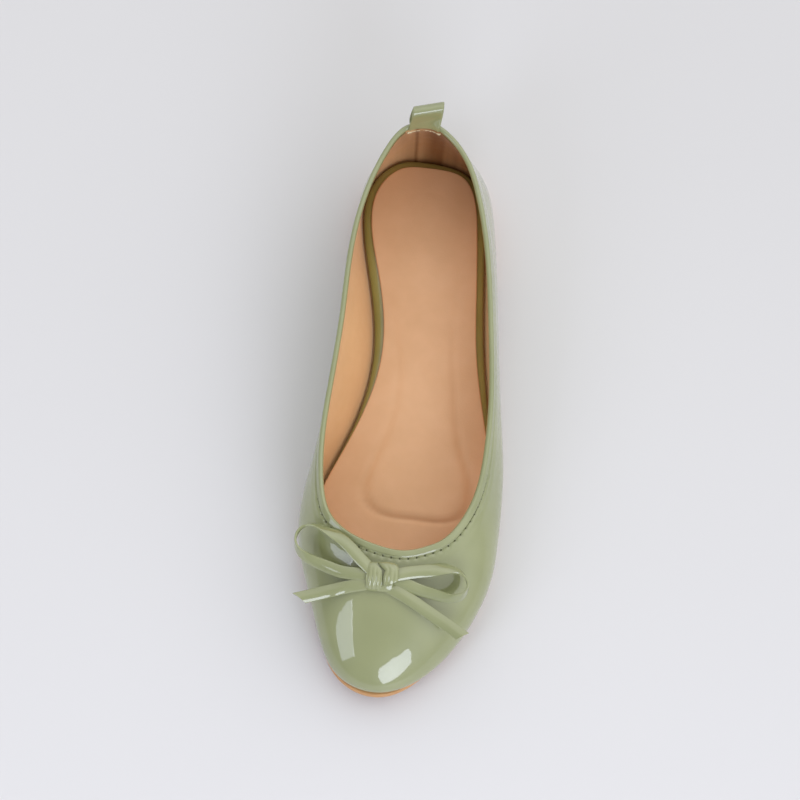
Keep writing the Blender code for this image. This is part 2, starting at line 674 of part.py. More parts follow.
def make_ribbon(name, vamp, shade, parent):
    rows = RIBBON_TABLES[name]
    out, back, rise, roll = (column(rows, RIBBON_COLUMNS, c) for c in RIBBON_COLUMNS)
    x = vamp.knot.x + out * BOW_REACH
    y = vamp.knot.y + back * BOW_REACH
    z = vamp.knot.z + rise * RIBBON_WIDTH
    line = smooth_path(np.column_stack([x, y, z, roll]), TAIL_STEPS if name in TAIL_CUTS else LOOP_STEPS)
    run = np.gradient(line[:, :2], axis=0)
    side = np.column_stack([-run[:, 1], run[:, 0], np.zeros(len(run))])
    side /= np.linalg.norm(side, axis=1)[:, None]
    turn = np.radians(line[:, 3])
    across = side * np.cos(turn)[:, None] + np.array([0, 0, 1.0]) * np.sin(turn)[:, None]
    lowest = np.zeros(len(line))
    for reach in np.linspace(-0.5, 0.5, RIBBON_PROBES) * RIBBON_WIDTH:
        edge = across * reach
        under = [vamp.height(p[0], p[1]) for p in line[:, :3] + edge]
        lowest = np.maximum(lowest, under - edge[:, 2])
    lowest += GAP + RIBBON_THICKNESS / 2
    path = np.column_stack([line[:, :2], np.maximum(line[:, 2], lowest)])
    cut = TAIL_CUTS.get(name, 0.0)
    return swept(name, path, across, RIBBON_WIDTH, RIBBON_THICKNESS, shade, parent, cut)


def make_knot(vamp, shade, parent):
    shape = bmesh.new()
    bmesh.ops.create_uvsphere(shape, u_segments=KNOT_SEGMENTS, v_segments=KNOT_RINGS, radius=1.0)
    wide, deep, tall = KNOT_SIZE
    for vert in shape.verts:
        x, y, z = [math.copysign(abs(v) ** KNOT_SQUARENESS, v) for v in vert.co]
        x, y, z = x * wide / 2, y * deep / 2, (z + 1) * tall / 2
        floor = vamp.height(vamp.knot.x + x, vamp.knot.y + y) + GAP
        vert.co = (vamp.knot.x + x, vamp.knot.y + y, floor + z)
    mesh = bpy.data.meshes.new("bow_knot")
    shape.to_mesh(mesh)
    shape.free()
    mesh.shade_smooth()
    return new_object("bow_knot", mesh, shade, parent)


def build():
    for old in list(bpy.data.objects):
        bpy.data.objects.remove(old)
    shoe = bpy.data.collections.new("ballet_flat")
    bpy.context.scene.collection.children.link(shoe)
    root = bpy.data.objects.new("ballet_flat_root", None)
    shoe.objects.link(root)
    patent = material("patent_green", PATENT_GREEN, 0.15, 1.0)
    rand = material("rand_green", RAND_GREEN, 0.3, 0.6)
    sole = material("sole_tan", SOLE_TAN, 0.5)
    sock = material("sock_tan", SOCK_TAN, 0.55)
    last = Last(RIBS)
    make_outsole(last, sole, root)
    make_heel(last, sole, root)
    make_insole(last, rand, root)
    make_sock(last, sock, root)
    rings = [last.at(share) for share in np.linspace(0, 1, RIB_STEPS + 1)]
    make_open_shell("upper", rings, WALL, -1.0, patent, root)
    make_binding(last, patent, root)
    make_pull_loop(last, patent, root)
    vamp = Vamp(last)
    for name in RIBBON_TABLES:
        make_ribbon(name, vamp, patent, root)
    make_knot(vamp, patent, root)


build()
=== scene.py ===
"""Looks of the ballet flat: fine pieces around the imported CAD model, materials, light and camera.

The sizes and tables down to the ribbons are the same as the part's own, in metres: +Z up, -Y to the
toe, +X to the outer side, origin on the floor under the heel's centre.
"""

import math

import bpy
import numpy as np
from mathutils import Matrix, Vector
from mathutils.bvhtree import BVHTree


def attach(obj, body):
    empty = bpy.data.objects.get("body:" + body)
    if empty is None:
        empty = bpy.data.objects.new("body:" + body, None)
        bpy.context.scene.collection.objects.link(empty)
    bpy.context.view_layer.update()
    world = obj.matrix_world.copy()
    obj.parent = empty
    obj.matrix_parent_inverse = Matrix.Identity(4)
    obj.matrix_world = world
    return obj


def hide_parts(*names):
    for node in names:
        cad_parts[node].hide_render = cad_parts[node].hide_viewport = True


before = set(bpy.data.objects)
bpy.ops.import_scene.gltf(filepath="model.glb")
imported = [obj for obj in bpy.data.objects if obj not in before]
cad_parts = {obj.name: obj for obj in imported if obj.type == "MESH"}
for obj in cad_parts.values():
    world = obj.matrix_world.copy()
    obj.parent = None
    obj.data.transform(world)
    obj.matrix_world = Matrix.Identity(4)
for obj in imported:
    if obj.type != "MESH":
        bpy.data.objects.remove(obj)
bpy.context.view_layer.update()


# Driving sizes of the shoe
LENGTH = 0.240
BALL_WIDTH = 0.080
HEEL_TO_ORIGIN = 0.030
HEEL_LIFT = 0.0085
TOE_SPRING = 0.0060
BACK_HEIGHT = 0.0485
THROAT_HEIGHT = 0.0335
SOLE_THICKNESS = 0.0035
SOLE_MARGIN = 0.0010
WALL = 0.0013
INSOLE_THICKNESS = 0.0038
SOCK_THICKNESS = 0.0012
RAND_WIDTH = 0.0034
GAP = 0.0003
HEEL_LENGTH = 0.052
HEEL_INSET = 0.0010
HEEL_TAPER = 0.0014
BINDING_DEPTH = 0.0022
BINDING_INNER_DEPTH = 0.0030
BINDING_THICKNESS = 0.0005
LOOP_WIDTH = 0.0130
LOOP_THICKNESS = 0.0011
LOOP_RISE = 0.0105
LOOP_DEPTH = 0.0042
LOOP_LEAN = 0.0041
LOOP_TURN = 15.0
LOOP_SWAY = 0.0011
LOOP_TAIL = 0.0120
LOOP_SLACK = 0.0003
LOOP_SPRING = 0.0008
LOOP_SPRING_RISE = 0.0020
# Its path from inside the shoe over its top
#   over: from the place of its foot to the place of its top, share of the way
#   depth: further back, share of LOOP_DEPTH
#   rise: above the topline, share of LOOP_RISE
LOOP_TABLE = (
    (0.00, 0.00, -0.11),
    (0.00, 0.00, 0.02),
    (0.50, 0.00, 0.45),
    (0.98, -0.03, 0.85),
    (1.00, 0.14, 0.95),
    (1.00, 0.75, 0.88),
    (1.00, 1.00, 0.68),
)
RIBBON_WIDTH = 0.0050
RIBBON_THICKNESS = 0.0010
BOW_REACH = 0.0370
BOW_SETBACK = 0.0114
BOW_SHIFT = 0.0049
TAIL_CUTS = {"bow_tail_inner": -0.0044, "bow_tail_outer": 0.0030}
KNOT_SIZE = (0.0125, 0.0110, 0.0058)

# Mesh density
RIBS = 840
SOLE_STEPS = 36

# Sections of the upper, round the last from the heel's back, along the outer side to the toe
# and back along the inner side
RIB_COLUMNS = (
    "foot_y foot_x top_y top_x climb low_out low_up high_out high_down rand margin".split()
)
RIB_TABLE = {
    "heel_back": (0.006, 0.020, 0.024, 0.000, 1.00, 0.050, 0.30, 0.070, 0.40, 1.0, 1.0),
    "heel_outer_back": (0.021, 0.223, 0.033, 0.095, 0.93, 0.036, 0.30, 0.050, 0.40, 0.75, 1.0),
    "heel_outer": (0.072, 0.342, 0.073, 0.215, 0.80, 0.046, 0.30, 0.052, 0.40, 0.85, 1.0),
    "heel_outer_front": (0.142, 0.378, 0.142, 0.305, 0.68, 0.062, 0.32, 0.055, 0.38, 0.9, 1.0),
    "waist_outer_back": (0.270, 0.400, 0.270, 0.388, 0.50, 0.068, 0.34, 0.055, 0.36, 0.85, 1.0),
    "waist_outer": (0.383, 0.430, 0.383, 0.428, 0.39, 0.064, 0.34, 0.055, 0.36, 0.9, 1.0),
    "waist_outer_front": (0.500, 0.482, 0.500, 0.456, 0.29, 0.062, 0.36, 0.060, 0.36, 0.5, 1.0),
    "ball_outer": (0.610, 0.520, 0.595, 0.452, 0.17, 0.066, 0.38, 0.090, 0.34, 0.1, 0.9),
    "ball_outer_front": (0.720, 0.517, 0.680, 0.405, 0.06, 0.078, 0.42, 0.130, 0.32, 0.1, 0.5),
    "toe_outer": (0.819, 0.467, 0.742, 0.293, 0.01, 0.092, 0.51, 0.250, 0.28, 0.1, 0.3),
    "toe_outer_front": (0.923, 0.311, 0.765, 0.183, 0.00, 0.078, 0.30, 0.298, 0.24, 0.1, -0.8),
    "toe_tip": (0.9940, 0.010, 0.776, 0.035, 0.00, 0.056, 0.33, 0.370, 0.23, 0.1, 1.45),
    "toe_inner_front": (0.960, -0.248, 0.764, -0.136, 0.00, 0.048, 0.46, 0.292, 0.26, 0.1, 0.3),
    "toe_inner": (0.854, -0.362, 0.743, -0.268, 0.01, 0.075, 0.43, 0.217, 0.29, 0.1, 0.7),
    "ball_inner_front": (0.752, -0.454, 0.705, -0.364, 0.05, 0.069, 0.42, 0.115, 0.32, 0.1, 0.9),
    "ball_inner": (0.650, -0.434, 0.617, -0.408, 0.13, 0.060, 0.38, 0.060, 0.34, 0.1, 1.0),
    "waist_inner_front": (0.540, -0.305, 0.535, -0.402, 0.22, 0.045, 0.36, 0.025, 0.34, 0.25, 1.0),
    "waist_inner": (0.375, -0.207, 0.375, -0.363, 0.39, 0.030, 0.34, 0.025, 0.34, 1.0, 1.0),
    "waist_inner_back": (0.250, -0.262, 0.250, -0.345, 0.53, 0.030, 0.32, 0.030, 0.36, 1.1, 1.0),
    "heel_inner_front": (0.142, -0.322, 0.142, -0.285, 0.68, 0.028, 0.32, 0.030, 0.38, 0.9, 1.0),
    "heel_inner": (0.060, -0.287, 0.072, -0.203, 0.80, 0.022, 0.30, 0.032, 0.40, 1.0, 1.0),
    "heel_inner_back": (0.011, -0.140, 0.031, -0.105, 0.93, 0.030, 0.30, 0.045, 0.40, 1.05, 1.0),
}
TOE_ROW = "toe_tip"
LEAST_RAND = 0.1  # share of RAND_WIDTH

SOLE_COLUMNS = "along heel_lift toe_spring".split()
SOLE_TABLE = {
    "back": (0.00, 1.00, 0.00),
    "heel_front": (0.20, 1.00, 0.00),
    "waist": (0.40, 0.55, 0.00),
    "ball_back": (0.60, 0.00, 0.00),
    "ball_front": (0.74, 0.00, 0.00),
    "toe_root": (0.87, 0.00, 0.30),
    "toe": (1.00, 0.00, 1.00),
}

END_TILT = 1.4  # how much steeper than its last stretch the toe ends

# Ribbons of the bow, each from the knot outwards
RIBBON_COLUMNS = "out back rise roll".split()
RIBBON_TABLES = {
    "bow_loop_inner": (
        (-0.180, 0.108, 0.84, 12),
        (-0.300, 0.210, 0.96, 12),
        (-0.430, 0.332, 1.10, 18),
        (-0.560, 0.422, 1.06, 30),
        (-0.700, 0.490, 0.86, 50),
        (-0.848, 0.540, 0.52, 72),
        (-0.956, 0.497, 0.26, 85),
        (-1.002, 0.410, 0.16, 90),
        (-0.994, 0.308, 0.12, 82),
        (-0.930, 0.222, 0.08, 65),
        (-0.814, 0.156, 0.06, 42),
        (-0.643, 0.098, 0.08, 22),
        (-0.472, 0.045, 0.22, 12),
        (-0.316, 0.033, 0.38, 8),
        (-0.178, 0.035, 0.50, 5),
    ),
    "bow_loop_outer": (
        (0.183, -0.026, 0.41, 5),
        (0.308, -0.062, 0.40, 8),
        (0.422, -0.095, 0.26, 12),
        (0.532, -0.116, 0.18, 18),
        (0.646, -0.138, 0.08, 28),
        (0.757, -0.149, 0.02, 45),
        (0.865, -0.119, 0.06, 70),
        (0.930, 0.008, 0.12, 90),
        (0.892, 0.097, 0.28, 80),
        (0.819, 0.151, 0.46, 62),
        (0.730, 0.159, 0.62, 45),
        (0.619, 0.146, 0.78, 28),
        (0.511, 0.124, 0.88, 18),
        (0.403, 0.103, 0.90, 12),
        (0.295, 0.081, 0.90, 10),
        (0.183, 0.052, 0.88, 10),
    ),
    "bow_tail_inner": (
        (-0.176, -0.066, 0.16, 3),
        (-0.350, -0.097, -0.14, 3),
        (-0.565, -0.151, -0.46, 3),
        (-0.727, -0.200, -0.62, 3),
        (-0.908, -0.257, -0.72, 3),
    ),
    "bow_tail_outer": (
        (0.166, -0.124, 0.10, 3),
        (0.286, -0.181, 0.00, 3),
        (0.470, -0.276, -0.36, 3),
        (0.668, -0.378, -0.78, 3),
        (0.919, -0.519, -1.14, 3),
    ),
}

# Outline of the padded footprint in the sock, shares of LENGTH from the back and of BALL_WIDTH
PAD_COLUMNS = "along across".split()
PAD_TABLE = {
    "heel_back": (0.079, 0.021),
    "heel_outer_back": (0.088, 0.132),
    "heel_outer": (0.122, 0.212),
    "heel_outer_front": (0.180, 0.237),
    "waist_outer_back": (0.260, 0.230),
    "waist_outer": (0.370, 0.235),
    "waist_outer_front": (0.460, 0.267),
    "ball_outer_back": (0.549, 0.320),
    "ball_outer": (0.619, 0.386),
    "ball_outer_front": (0.668, 0.352),
    "toe_outer": (0.682, 0.250),
    "toe": (0.681, 0.090),
    "toe_inner": (0.675, -0.080),
    "ball_inner_front": (0.654, -0.158),
    "ball_inner": (0.612, -0.165),
    "ball_inner_back": (0.565, -0.118),
    "waist_inner_front": (0.500, -0.058),
    "waist_inner": (0.415, -0.042),
    "waist_inner_back": (0.335, -0.085),
    "heel_inner_front": (0.251, -0.126),
    "heel_inner": (0.166, -0.158),
    "heel_inner_back": (0.113, -0.140),
}

# Bands of the knot, over the bow's middle from its toe side to its throat side
#   rows: turn in degrees, places of the band's left and right edges there, and how pleated it is
#   start: turns of its first row at its left and right edges
#   end: turns of its last row at its left edge, middle and right edge
#   drop: lower than the knot's top
KNOT_BANDS = {
    "knot_core": {
        "rows": ((6, -0.0050, 0.0050, 0), (174, -0.0050, 0.0050, 0)),
        "start": (10, 10),
        "end": (170, 170, 170),
        "drop": 0.0032,
        "thickness": 0.0012,
        "pleats": 0,
    },
    "knot_wrap_inner": {
        "rows": (
            (4, -0.0060, 0.0002, 0.6),
            (45, -0.0064, 0.0004, 1.0),
            (90, -0.0063, 0.0002, 0.5),
            (130, -0.0064, 0.0000, 0.0),
            (170, -0.0058, -0.0004, 0.0),
        ),
        "start": (5, 10),
        "end": (166, 140, 106),
        "drop": 0.0012,
        "thickness": 0.0010,
        "pleats": 4,
    },
    "knot_wrap_outer": {
        "rows": (
            (38, 0.0010, 0.0066, 0.3),
            (90, 0.0008, 0.0068, 0.5),
            (108, 0.0012, 0.0068, 0.4),
            (135, -0.0008, 0.0064, 0.3),
            (168, -0.0026, 0.0050, 0.2),
        ),
        "start": (36, 66),
        "end": (166, 168, 160),
        "drop": 0.0006,
        "thickness": 0.0010,
        "pleats": 3,
    },
}
KNOT_SLIP = (-0.0008, 0.0008)  # off the middle of the plain knot
KNOT_SEAT = 0.0006  # off the vamp
KNOT_PLEAT = 0.00026
KNOT_ROWS, KNOT_COLUMNS = 44, 29  # of a band's mesh

# Fine detail
# Ridges and dips of the upper along the binding: how far past it, their reach, and their height at the
# throat and at the sides
RIDGES = (
    (0.0002, 0.0006, -0.00022 * 0.12, -0.00022),
    (0.0018, 0.0008, 0.0, 0.00016),
    (0.0046, 0.0026, 0.00022, 0.00022),
)
# The seam up the back, the same way: place each side of it, reach and height
SEAM_RIDGES = ((0.0, 0.0005, -0.00032), (0.0016, 0.0008, 0.00012))
SEAM_END = 0.06  # share of LENGTH
LINING_SEAM = -0.0040
LINING_SEAM_RIDGE, LINING_SEAM_REACH = 0.00025, 0.0009
BEAD_OUT = 0.00062  # how far the binding's bead stands out, and how much less at the throat
BEAD_OUT_LESS = 0.00030
BEAD_IN, BEAD_IN_LESS = 0.00036, 0.00012
BEAD_WAVES = ((0.03, 31, 0.0), (0.02, 47, 1.3))  # height, number and start of its ripples
STITCH_PITCH = 0.0035
STITCH_SETBACK = 0.0005  # stitch row beyond the piping's edge
STITCH_ENDS = (-0.120, -0.134)  # where the row ends along the shoe, outer and inner side
STITCH_SHARE = 0.80  # thread between its holes, share of the pitch
STITCH_RISE, STITCH_SINK = 0.00010, 0.0002  # of its middle and its ends
# Sizes of the dark drops of painted shade in the needle holes
HOLE_RADIUS = 0.00034
HOLE_SIDES, HOLE_ROWS = 10, 5
HOLE_STRETCH = 1.25
HOLE_HEIGHT, HOLE_SINK = 0.00012, 0.00018
DIMPLE_DEPTH, DIMPLE_REACH = 0.00034, 0.0007  # round each hole
THREAD_RADIUS = 0.00022
THREAD_SIDES, THREAD_ROWS = 8, 7
PUCKER, PUCKER_REACH = 0.00009, 0.0032  # ripples of the leather round the stitches
UPPER_ROWS = (0.78, 30, 34)  # share of a rib's run, rows up to there, and finer rows above it
LINING_ROWS = (0.7, 16, 20)
PAD_RISE = 0.0009
PAD_GROOVE = 0.0006
PAD_EDGE = 0.0022
PAD_FADE = (0.20, 0.66, 0.06)  # from this share of LENGTH to this it grows from this share of its relief
PAD_POINTS = 240
LOOP_TAB = 0.0075  # half the width of the lining's turned-up edge that covers the pull loop's foot
LOOP_TAB_FADE = (0.0008, 0.0022)  # from this far inside that width to this far outside it
LOOP_TAB_DEPTH = (0.004, 0.011)  # down the lining, where it starts to fade and where it ends
LOOP_TAB_END = 0.09  # share of LENGTH
LOOP_TAB_COVER = 0.00045
LOOP_TAB_RIM = ((0.0004, 0.25), (0.0008, 0.55), (0.0009, 0.80), (0.0007, 0.95))  # rise, share inwards
# Cream edge sewn over the pull loop's foot
CREAM_DEPTHS = (0.0013, 0.0009, 0.0005, 0.0001)  # down from the topline, before it is raised
CREAM_RISE = 0.0007
CREAM_OUT = 0.00030  # off the loop
CREAM_SHORT = 0.0006  # shorter at each end than the lining's turned-up edge
CREAM_FRAY, CREAM_THICKNESS = 0.00016, 0.0009
LOOP_STEPS, TAIL_STEPS = 120, 60  # along a ribbon's mesh
RIBBON_CROWN = 0.00065  # how far the ribbon's toe side folds down
RIBBON_RIPPLE = 0.00010
RIBBON_TUCK = 0.0042  # how far it runs on under the knot
RIBBON_TWIST = {"bow_tail_inner": -14.0, "bow_loop_outer": 14.0}  # degrees more roll near the knot
BACK_SHARE = 14 / 80  # of the ribs, each side of the heel's back, that the pull loop may span


def column(table, columns, name):
    rows = table.values() if isinstance(table, dict) else table
    return np.array([row[columns.index(name)] for row in rows], float)


def cubic(values, bends, ends, at):
    """Curve through values at the places in ends, with these bends there, read at the places in at."""
    i = np.clip(np.searchsorted(ends, at, side="right") - 1, 0, len(ends) - 2)
    span = np.diff(ends)[i][:, None]
    b = (at - ends[i])[:, None] / span
    a = 1 - b
    straight = a * values[i] + b * values[i + 1]
    return straight + ((a**3 - a) * bends[i] + (b**3 - b) * bends[i + 1]) * span**2 / 6


def closed_spline(knots, period, values, at):
    """Smooth closed curve through values at the knots, read at the places in at."""
    count = len(knots)
    ends = np.append(knots, knots[0] + period)
    spans = np.diff(ends)
    slopes = (np.roll(values, -1, axis=0) - values) / spans[:, None]
    before = np.roll(spans, 1)
    matrix = np.zeros((count, count))
    for i in range(count):
        matrix[i, i - 1] += before[i]
        matrix[i, i] += 2 * (before[i] + spans[i])
        matrix[i, (i + 1) % count] += spans[i]
    bends = np.linalg.solve(matrix, 6 * (slopes - np.roll(slopes, 1, axis=0)))
    values, bends = (np.append(rows, rows[:1], axis=0) for rows in (values, bends))
    return cubic(values, bends, ends, knots[0] + np.mod(at - knots[0], period))


def eased(at, places, values):
    """Curve through values with no overshoot, so that level stretches stay level."""
    spans = np.diff(places)
    slopes = np.diff(values) / spans
    tilt = np.zeros(len(places))
    for i in range(1, len(places) - 1):
        if slopes[i - 1] * slopes[i] > 0:
            tilt[i] = 2 * slopes[i - 1] * slopes[i] / (slopes[i - 1] + slopes[i])
    tilt[-1] = slopes[-1] * END_TILT
    at = np.clip(at, places[0], places[-1])
    i = np.clip(np.searchsorted(places, at, side="right") - 1, 0, len(spans) - 1)
    span = spans[i]
    b = (at - places[i]) / span
    rise = (3 - 2 * b) * b**2
    ease_in = b * (1 - b) ** 2 * span * tilt[i]
    ease_out = b**2 * (1 - b) * span * tilt[i + 1]
    return values[i] * (1 - rise) + values[i + 1] * rise + ease_in - ease_out


def along_to_y(along):
    return HEEL_TO_ORIGIN - along * LENGTH


def sole_underside(y):
    """Height of the outsole's underside at a place along the shoe."""
    along = np.atleast_1d((HEEL_TO_ORIGIN - np.asarray(y, float)) / LENGTH)
    places = column(SOLE_TABLE, SOLE_COLUMNS, "along")
    heel = eased(along, places, column(SOLE_TABLE, SOLE_COLUMNS, "heel_lift"))
    toe = eased(along, places, column(SOLE_TABLE, SOLE_COLUMNS, "toe_spring"))
    return (heel * HEEL_LIFT + toe * TOE_SPRING).reshape(np.shape(y))


def sole_top(y):
    return sole_underside(y) + SOLE_THICKNESS


def unit(vectors):
    return vectors / np.linalg.norm(vectors, axis=-1)[..., None]


def outward(points):
    """Level unit normals that point out of a closed ring of points, which runs clockwise from above."""
    run = np.roll(points, -1, axis=0) - np.roll(points, 1, axis=0)
    return unit(np.stack([-run[:, 1], run[:, 0], np.zeros(len(run))], axis=1))


class Last:
    """The upper's outer face as ribs round the foot, and the rings and offsets that other pieces follow."""

    def __init__(self, ribs):
        value = {name: column(RIB_TABLE, RIB_COLUMNS, name) for name in RIB_COLUMNS}
        foot = np.stack([value["foot_x"] * BALL_WIDTH, along_to_y(value["foot_y"])], 1)
        top = np.stack([value["top_x"] * BALL_WIDTH, along_to_y(value["top_y"])], 1)
        steps = [
            np.linalg.norm(np.roll(ring, -1, axis=0) - ring, axis=1) for ring in (foot, top)
        ]
        step = sum(steps) / 2
        knots = np.append(0, np.cumsum(step)[:-1])
        toe = knots[list(RIB_TABLE).index(TOE_ROW)]
        half = ribs // 2
        outer = np.linspace(0, toe, half, endpoint=False)
        inner = np.linspace(toe, step.sum(), ribs - half, endpoint=False)
        shapes = "climb low_out low_up high_out high_down rand margin".split()
        table = np.column_stack([foot, top] + [value[name] for name in shapes])
        smooth = closed_spline(knots, step.sum(), table, np.concatenate([outer, inner]))
        climb, low_out, low_up, high_out, high_down, rand, margin = smooth[:, 4:].T
        foot_z = sole_top(smooth[:, 1]) + GAP
        top_z = THROAT_HEIGHT + (BACK_HEIGHT - THROAT_HEIGHT) * climb + sole_top(smooth[:, 3])
        self.foot = np.column_stack([smooth[:, 0:2], foot_z])
        self.top = np.column_stack([smooth[:, 2:4], top_z])
        self.foot_out = outward(self.foot)
        self.top_out = outward(self.top)
        height = (top_z - foot_z)[:, None]
        up = np.array([0, 0, 1])
        low = self.foot_out * low_out[:, None] * BALL_WIDTH + up * low_up[:, None] * height
        high = self.top_out * high_out[:, None] * BALL_WIDTH - up * high_down[:, None] * height
        self.handles = (self.foot, self.foot + low, self.top + high, self.top)
        self.rand = np.clip(rand, LEAST_RAND, None) * RAND_WIDTH
        self.margin = margin * SOLE_MARGIN

    def at(self, share, lift=0.0):
        """Ring of points at a share of each rib's run, 0 at its foot and 1 at the topline, lifted off."""
        p0, p1, p2, p3 = self.handles
        t = np.broadcast_to(share, len(p0))[:, None]
        point = (1 - t) ** 3 * p0 + 3 * t * (1 - t) ** 2 * p1
        point = point + 3 * t**2 * (1 - t) * p2 + t**3 * p3
        if np.any(lift):
            point = point + self.normal(share, point) * np.broadcast_to(lift, len(p0))[:, None]
        return point

    def upwards(self, share):
        p0, p1, p2, p3 = self.handles
        t = np.broadcast_to(share, len(p0))[:, None]
        run = (1 - t) ** 2 * (p1 - p0) + 2 * t * (1 - t) * (p2 - p1) + t**2 * (p3 - p2)
        return run * 3

    def normal(self, share, ring):
        round_run = np.roll(ring, -1, axis=0) - np.roll(ring, 1, axis=0)
        return unit(np.cross(self.upwards(share), round_run))

    def below(self, depth, lift=0.0):
        """Ring of points this far down each rib from the topline, lifted off."""
        return self.at(self.below_topline(depth), lift)

    def below_topline(self, depth):
        """Share of the run that is this far down each rib from the topline."""
        return 1 - depth / np.linalg.norm(self.upwards(1.0), axis=1)


def lengths_along(path):
    """Length of a path up to each of its points."""
    return np.append(0, np.cumsum(np.linalg.norm(np.diff(path, axis=0), axis=1)))


def read_at(at, places, points):
    """Points of a path read at places between its own."""
    return np.column_stack([np.interp(at, places, points[:, k]) for k in range(3)])


def whole_turn(count):
    return np.linspace(0, 2 * math.pi, count, endpoint=False)


def smooth_path(points, steps):
    """Curve through points, read at even steps, with straight-running ends."""
    points = np.array(points, float)
    chord = lengths_along(points[:, :3])
    count = len(points)
    matrix = np.eye(count)
    right = np.zeros_like(points)
    spans = np.diff(chord)
    slopes = np.diff(points, axis=0) / spans[:, None]
    for i in range(1, count - 1):
        matrix[i, i - 1 : i + 2] = spans[i - 1], 2 * (spans[i - 1] + spans[i]), spans[i]
        right[i] = 6 * (slopes[i] - slopes[i - 1])
    bends = np.linalg.solve(matrix, right)
    return cubic(points, bends, chord, np.linspace(0, chord[-1], steps + 1))


def swell(place, middle, reach):
    """Soft bell, 1 at the middle and near 0 beyond its reach."""
    return np.exp(-(((place - middle) / reach) ** 2))


def ramp_up(place, low, high):
    """Smooth step from 0 at low to 1 at high."""
    share = np.clip((place - low) / (high - low), 0, 1)
    return share * share * (3 - 2 * share)


# Procedural materials, on coordinates in metres


def add_node(tree, kind, links=(), **settings):
    """Node with settings, and a value or another node's output for each socket in links."""
    made = tree.nodes.new(kind)
    for name, value in settings.items():
        setattr(made, name, value)
    for socket, value in dict(links).items():
        if isinstance(value, bpy.types.NodeSocket):
            tree.links.new(value, made.inputs[socket])
        else:
            made.inputs[socket].default_value = value
    return made


def maths(tree, kind, first, second):
    return add_node(tree, "ShaderNodeMath", {0: first, 1: second}, operation=kind).outputs["Value"]


class Shade:
    """Principled material whose sockets are fed by procedural nodes."""

    def __init__(self, name, **sockets):
        self.made = bpy.data.materials.new(name)
        self.made.use_nodes = True
        self.tree = self.made.node_tree
        self.surface = self.tree.nodes["Principled BSDF"]
        for socket, value in sockets.items():
            self.surface.inputs[socket.replace("_", " ")].default_value = value
        self.place = self.node("ShaderNodeTexCoord").outputs["Object"]

    def node(self, kind, links=(), **settings):
        return add_node(self.tree, kind, links, **settings)

    def feed(self, socket, value):
        self.tree.links.new(value, self.surface.inputs[socket])

    def stretched(self, scale):
        links = {"Vector": self.place, "Scale": scale}
        return self.node("ShaderNodeMapping", links).outputs["Vector"]

    def noise(self, scale, detail=3.0, rough=0.5, vector=None):
        links = {"Vector": vector or self.place, "Scale": scale, "Detail": detail, "Roughness": rough}
        return self.node("ShaderNodeTexNoise", links).outputs["Fac"]

    def cells(self, scale, smooth=0.3):
        links = {"Vector": self.place, "Scale": scale, "Smoothness": smooth}
        made = self.node("ShaderNodeTexVoronoi", links, feature="SMOOTH_F1")
        return made.outputs["Distance"]

    def spread(self, value, low, high, to_low, to_high):
        links = {"Value": value, "From Min": low, "From Max": high, "To Min": to_low, "To Max": to_high}
        return self.node("ShaderNodeMapRange", links).outputs["Result"]

    def axis(self, name):
        return self.node("ShaderNodeSeparateXYZ", {"Vector": self.place}).outputs[name]

    def maths(self, kind, first, second):
        return maths(self.tree, kind, first, second)

    def blend(self, share, first, second):
        """Colour between two colours or colour outputs."""
        links = {0: share, 6: first, 7: second}
        return self.node("ShaderNodeMix", links, data_type="RGBA").outputs[2]

    def tint(self, cloud, dark, light, low=0.3, high=0.7):
        share = self.spread(cloud, low, high, 0.0, 1.0)
        self.feed("Base Color", self.blend(share, dark, light))

    def roughen(self, cloud, smooth, rough):
        self.feed("Roughness", self.spread(cloud, 0.3, 0.7, smooth, rough))

    def bump(self, height, strength, distance, under=None):
        links = {"Height": height, "Strength": strength, "Distance": distance}
        if under:
            links["Normal"] = under
        return self.node("ShaderNodeBump", links).outputs["Normal"]


def patent(name, dark, light, gloss=0.3):
    """Patent leather: coloured base under a thick clear coat that ripples a little."""
    shade = Shade(
        name, Coat_Weight=1.0, Coat_Roughness=0.035, Coat_IOR=1.7, Specular_IOR_Level=0.35
    )
    shade.tint(shade.noise(38.0, 2.0), dark, light)
    shade.roughen(shade.noise(420.0, 2.0), gloss, gloss + 0.14)
    ripple = shade.bump(shade.noise(120.0, 2.0), 0.10, 0.0006)
    grain = shade.bump(shade.noise(1500.0, 3.0), 0.12, 0.00006, ripple)
    shade.feed("Normal", grain)
    shade.feed("Coat Normal", ripple)
    return shade.made


def leather(name, dark, light, heel=None):
    """Matt lining leather with pores; when asked, painted shade behind the heel: browner towards the outer
    side, with upright streaks, and a darker line along the back seam.
    """
    shade = Shade(name, Specular_IOR_Level=0.35, Sheen_Weight=0.12, Sheen_Roughness=0.45)
    cloud = shade.spread(shade.noise(22.0, 4.0, 0.6), 0.35, 0.68, 0.0, 1.0)
    colour = shade.blend(cloud, dark, light)
    if heel:
        bands = shade.noise(1.0, 2.0, 0.5, shade.stretched((160.0, 30.0, 5.0)))
        back = shade.spread(shade.axis("Y"), -0.010, 0.016, 0.0, 1.0)
        # Painted shade: the heel's back inside browns towards its outer side, broken up by upright streaks
        outer = shade.spread(shade.axis("X"), -0.013, 0.004, 0.10, 0.80)
        outer = shade.maths("ADD", outer, shade.spread(bands, 0.35, 0.65, -0.10, 0.14))
        seam = shade.maths("ADD", shade.axis("X"), -LINING_SEAM)
        near = shade.spread(shade.maths("ABSOLUTE", seam, 0.0), 0.0, 0.0012, 0.3, 0.0)
        share = shade.maths("MULTIPLY", shade.maths("ADD", outer, near), back)
        colour = shade.blend(share, colour, heel)
    shade.feed("Base Color", colour)
    shade.roughen(shade.noise(260.0, 3.0), 0.48, 0.66)
    pores = shade.bump(shade.cells(1500.0, 0.4), 0.22, 0.00010)
    creases = shade.bump(shade.noise(600.0, 5.0, 0.6), 0.22, 0.00012, pores)
    shade.feed("Normal", creases)
    return shade.made


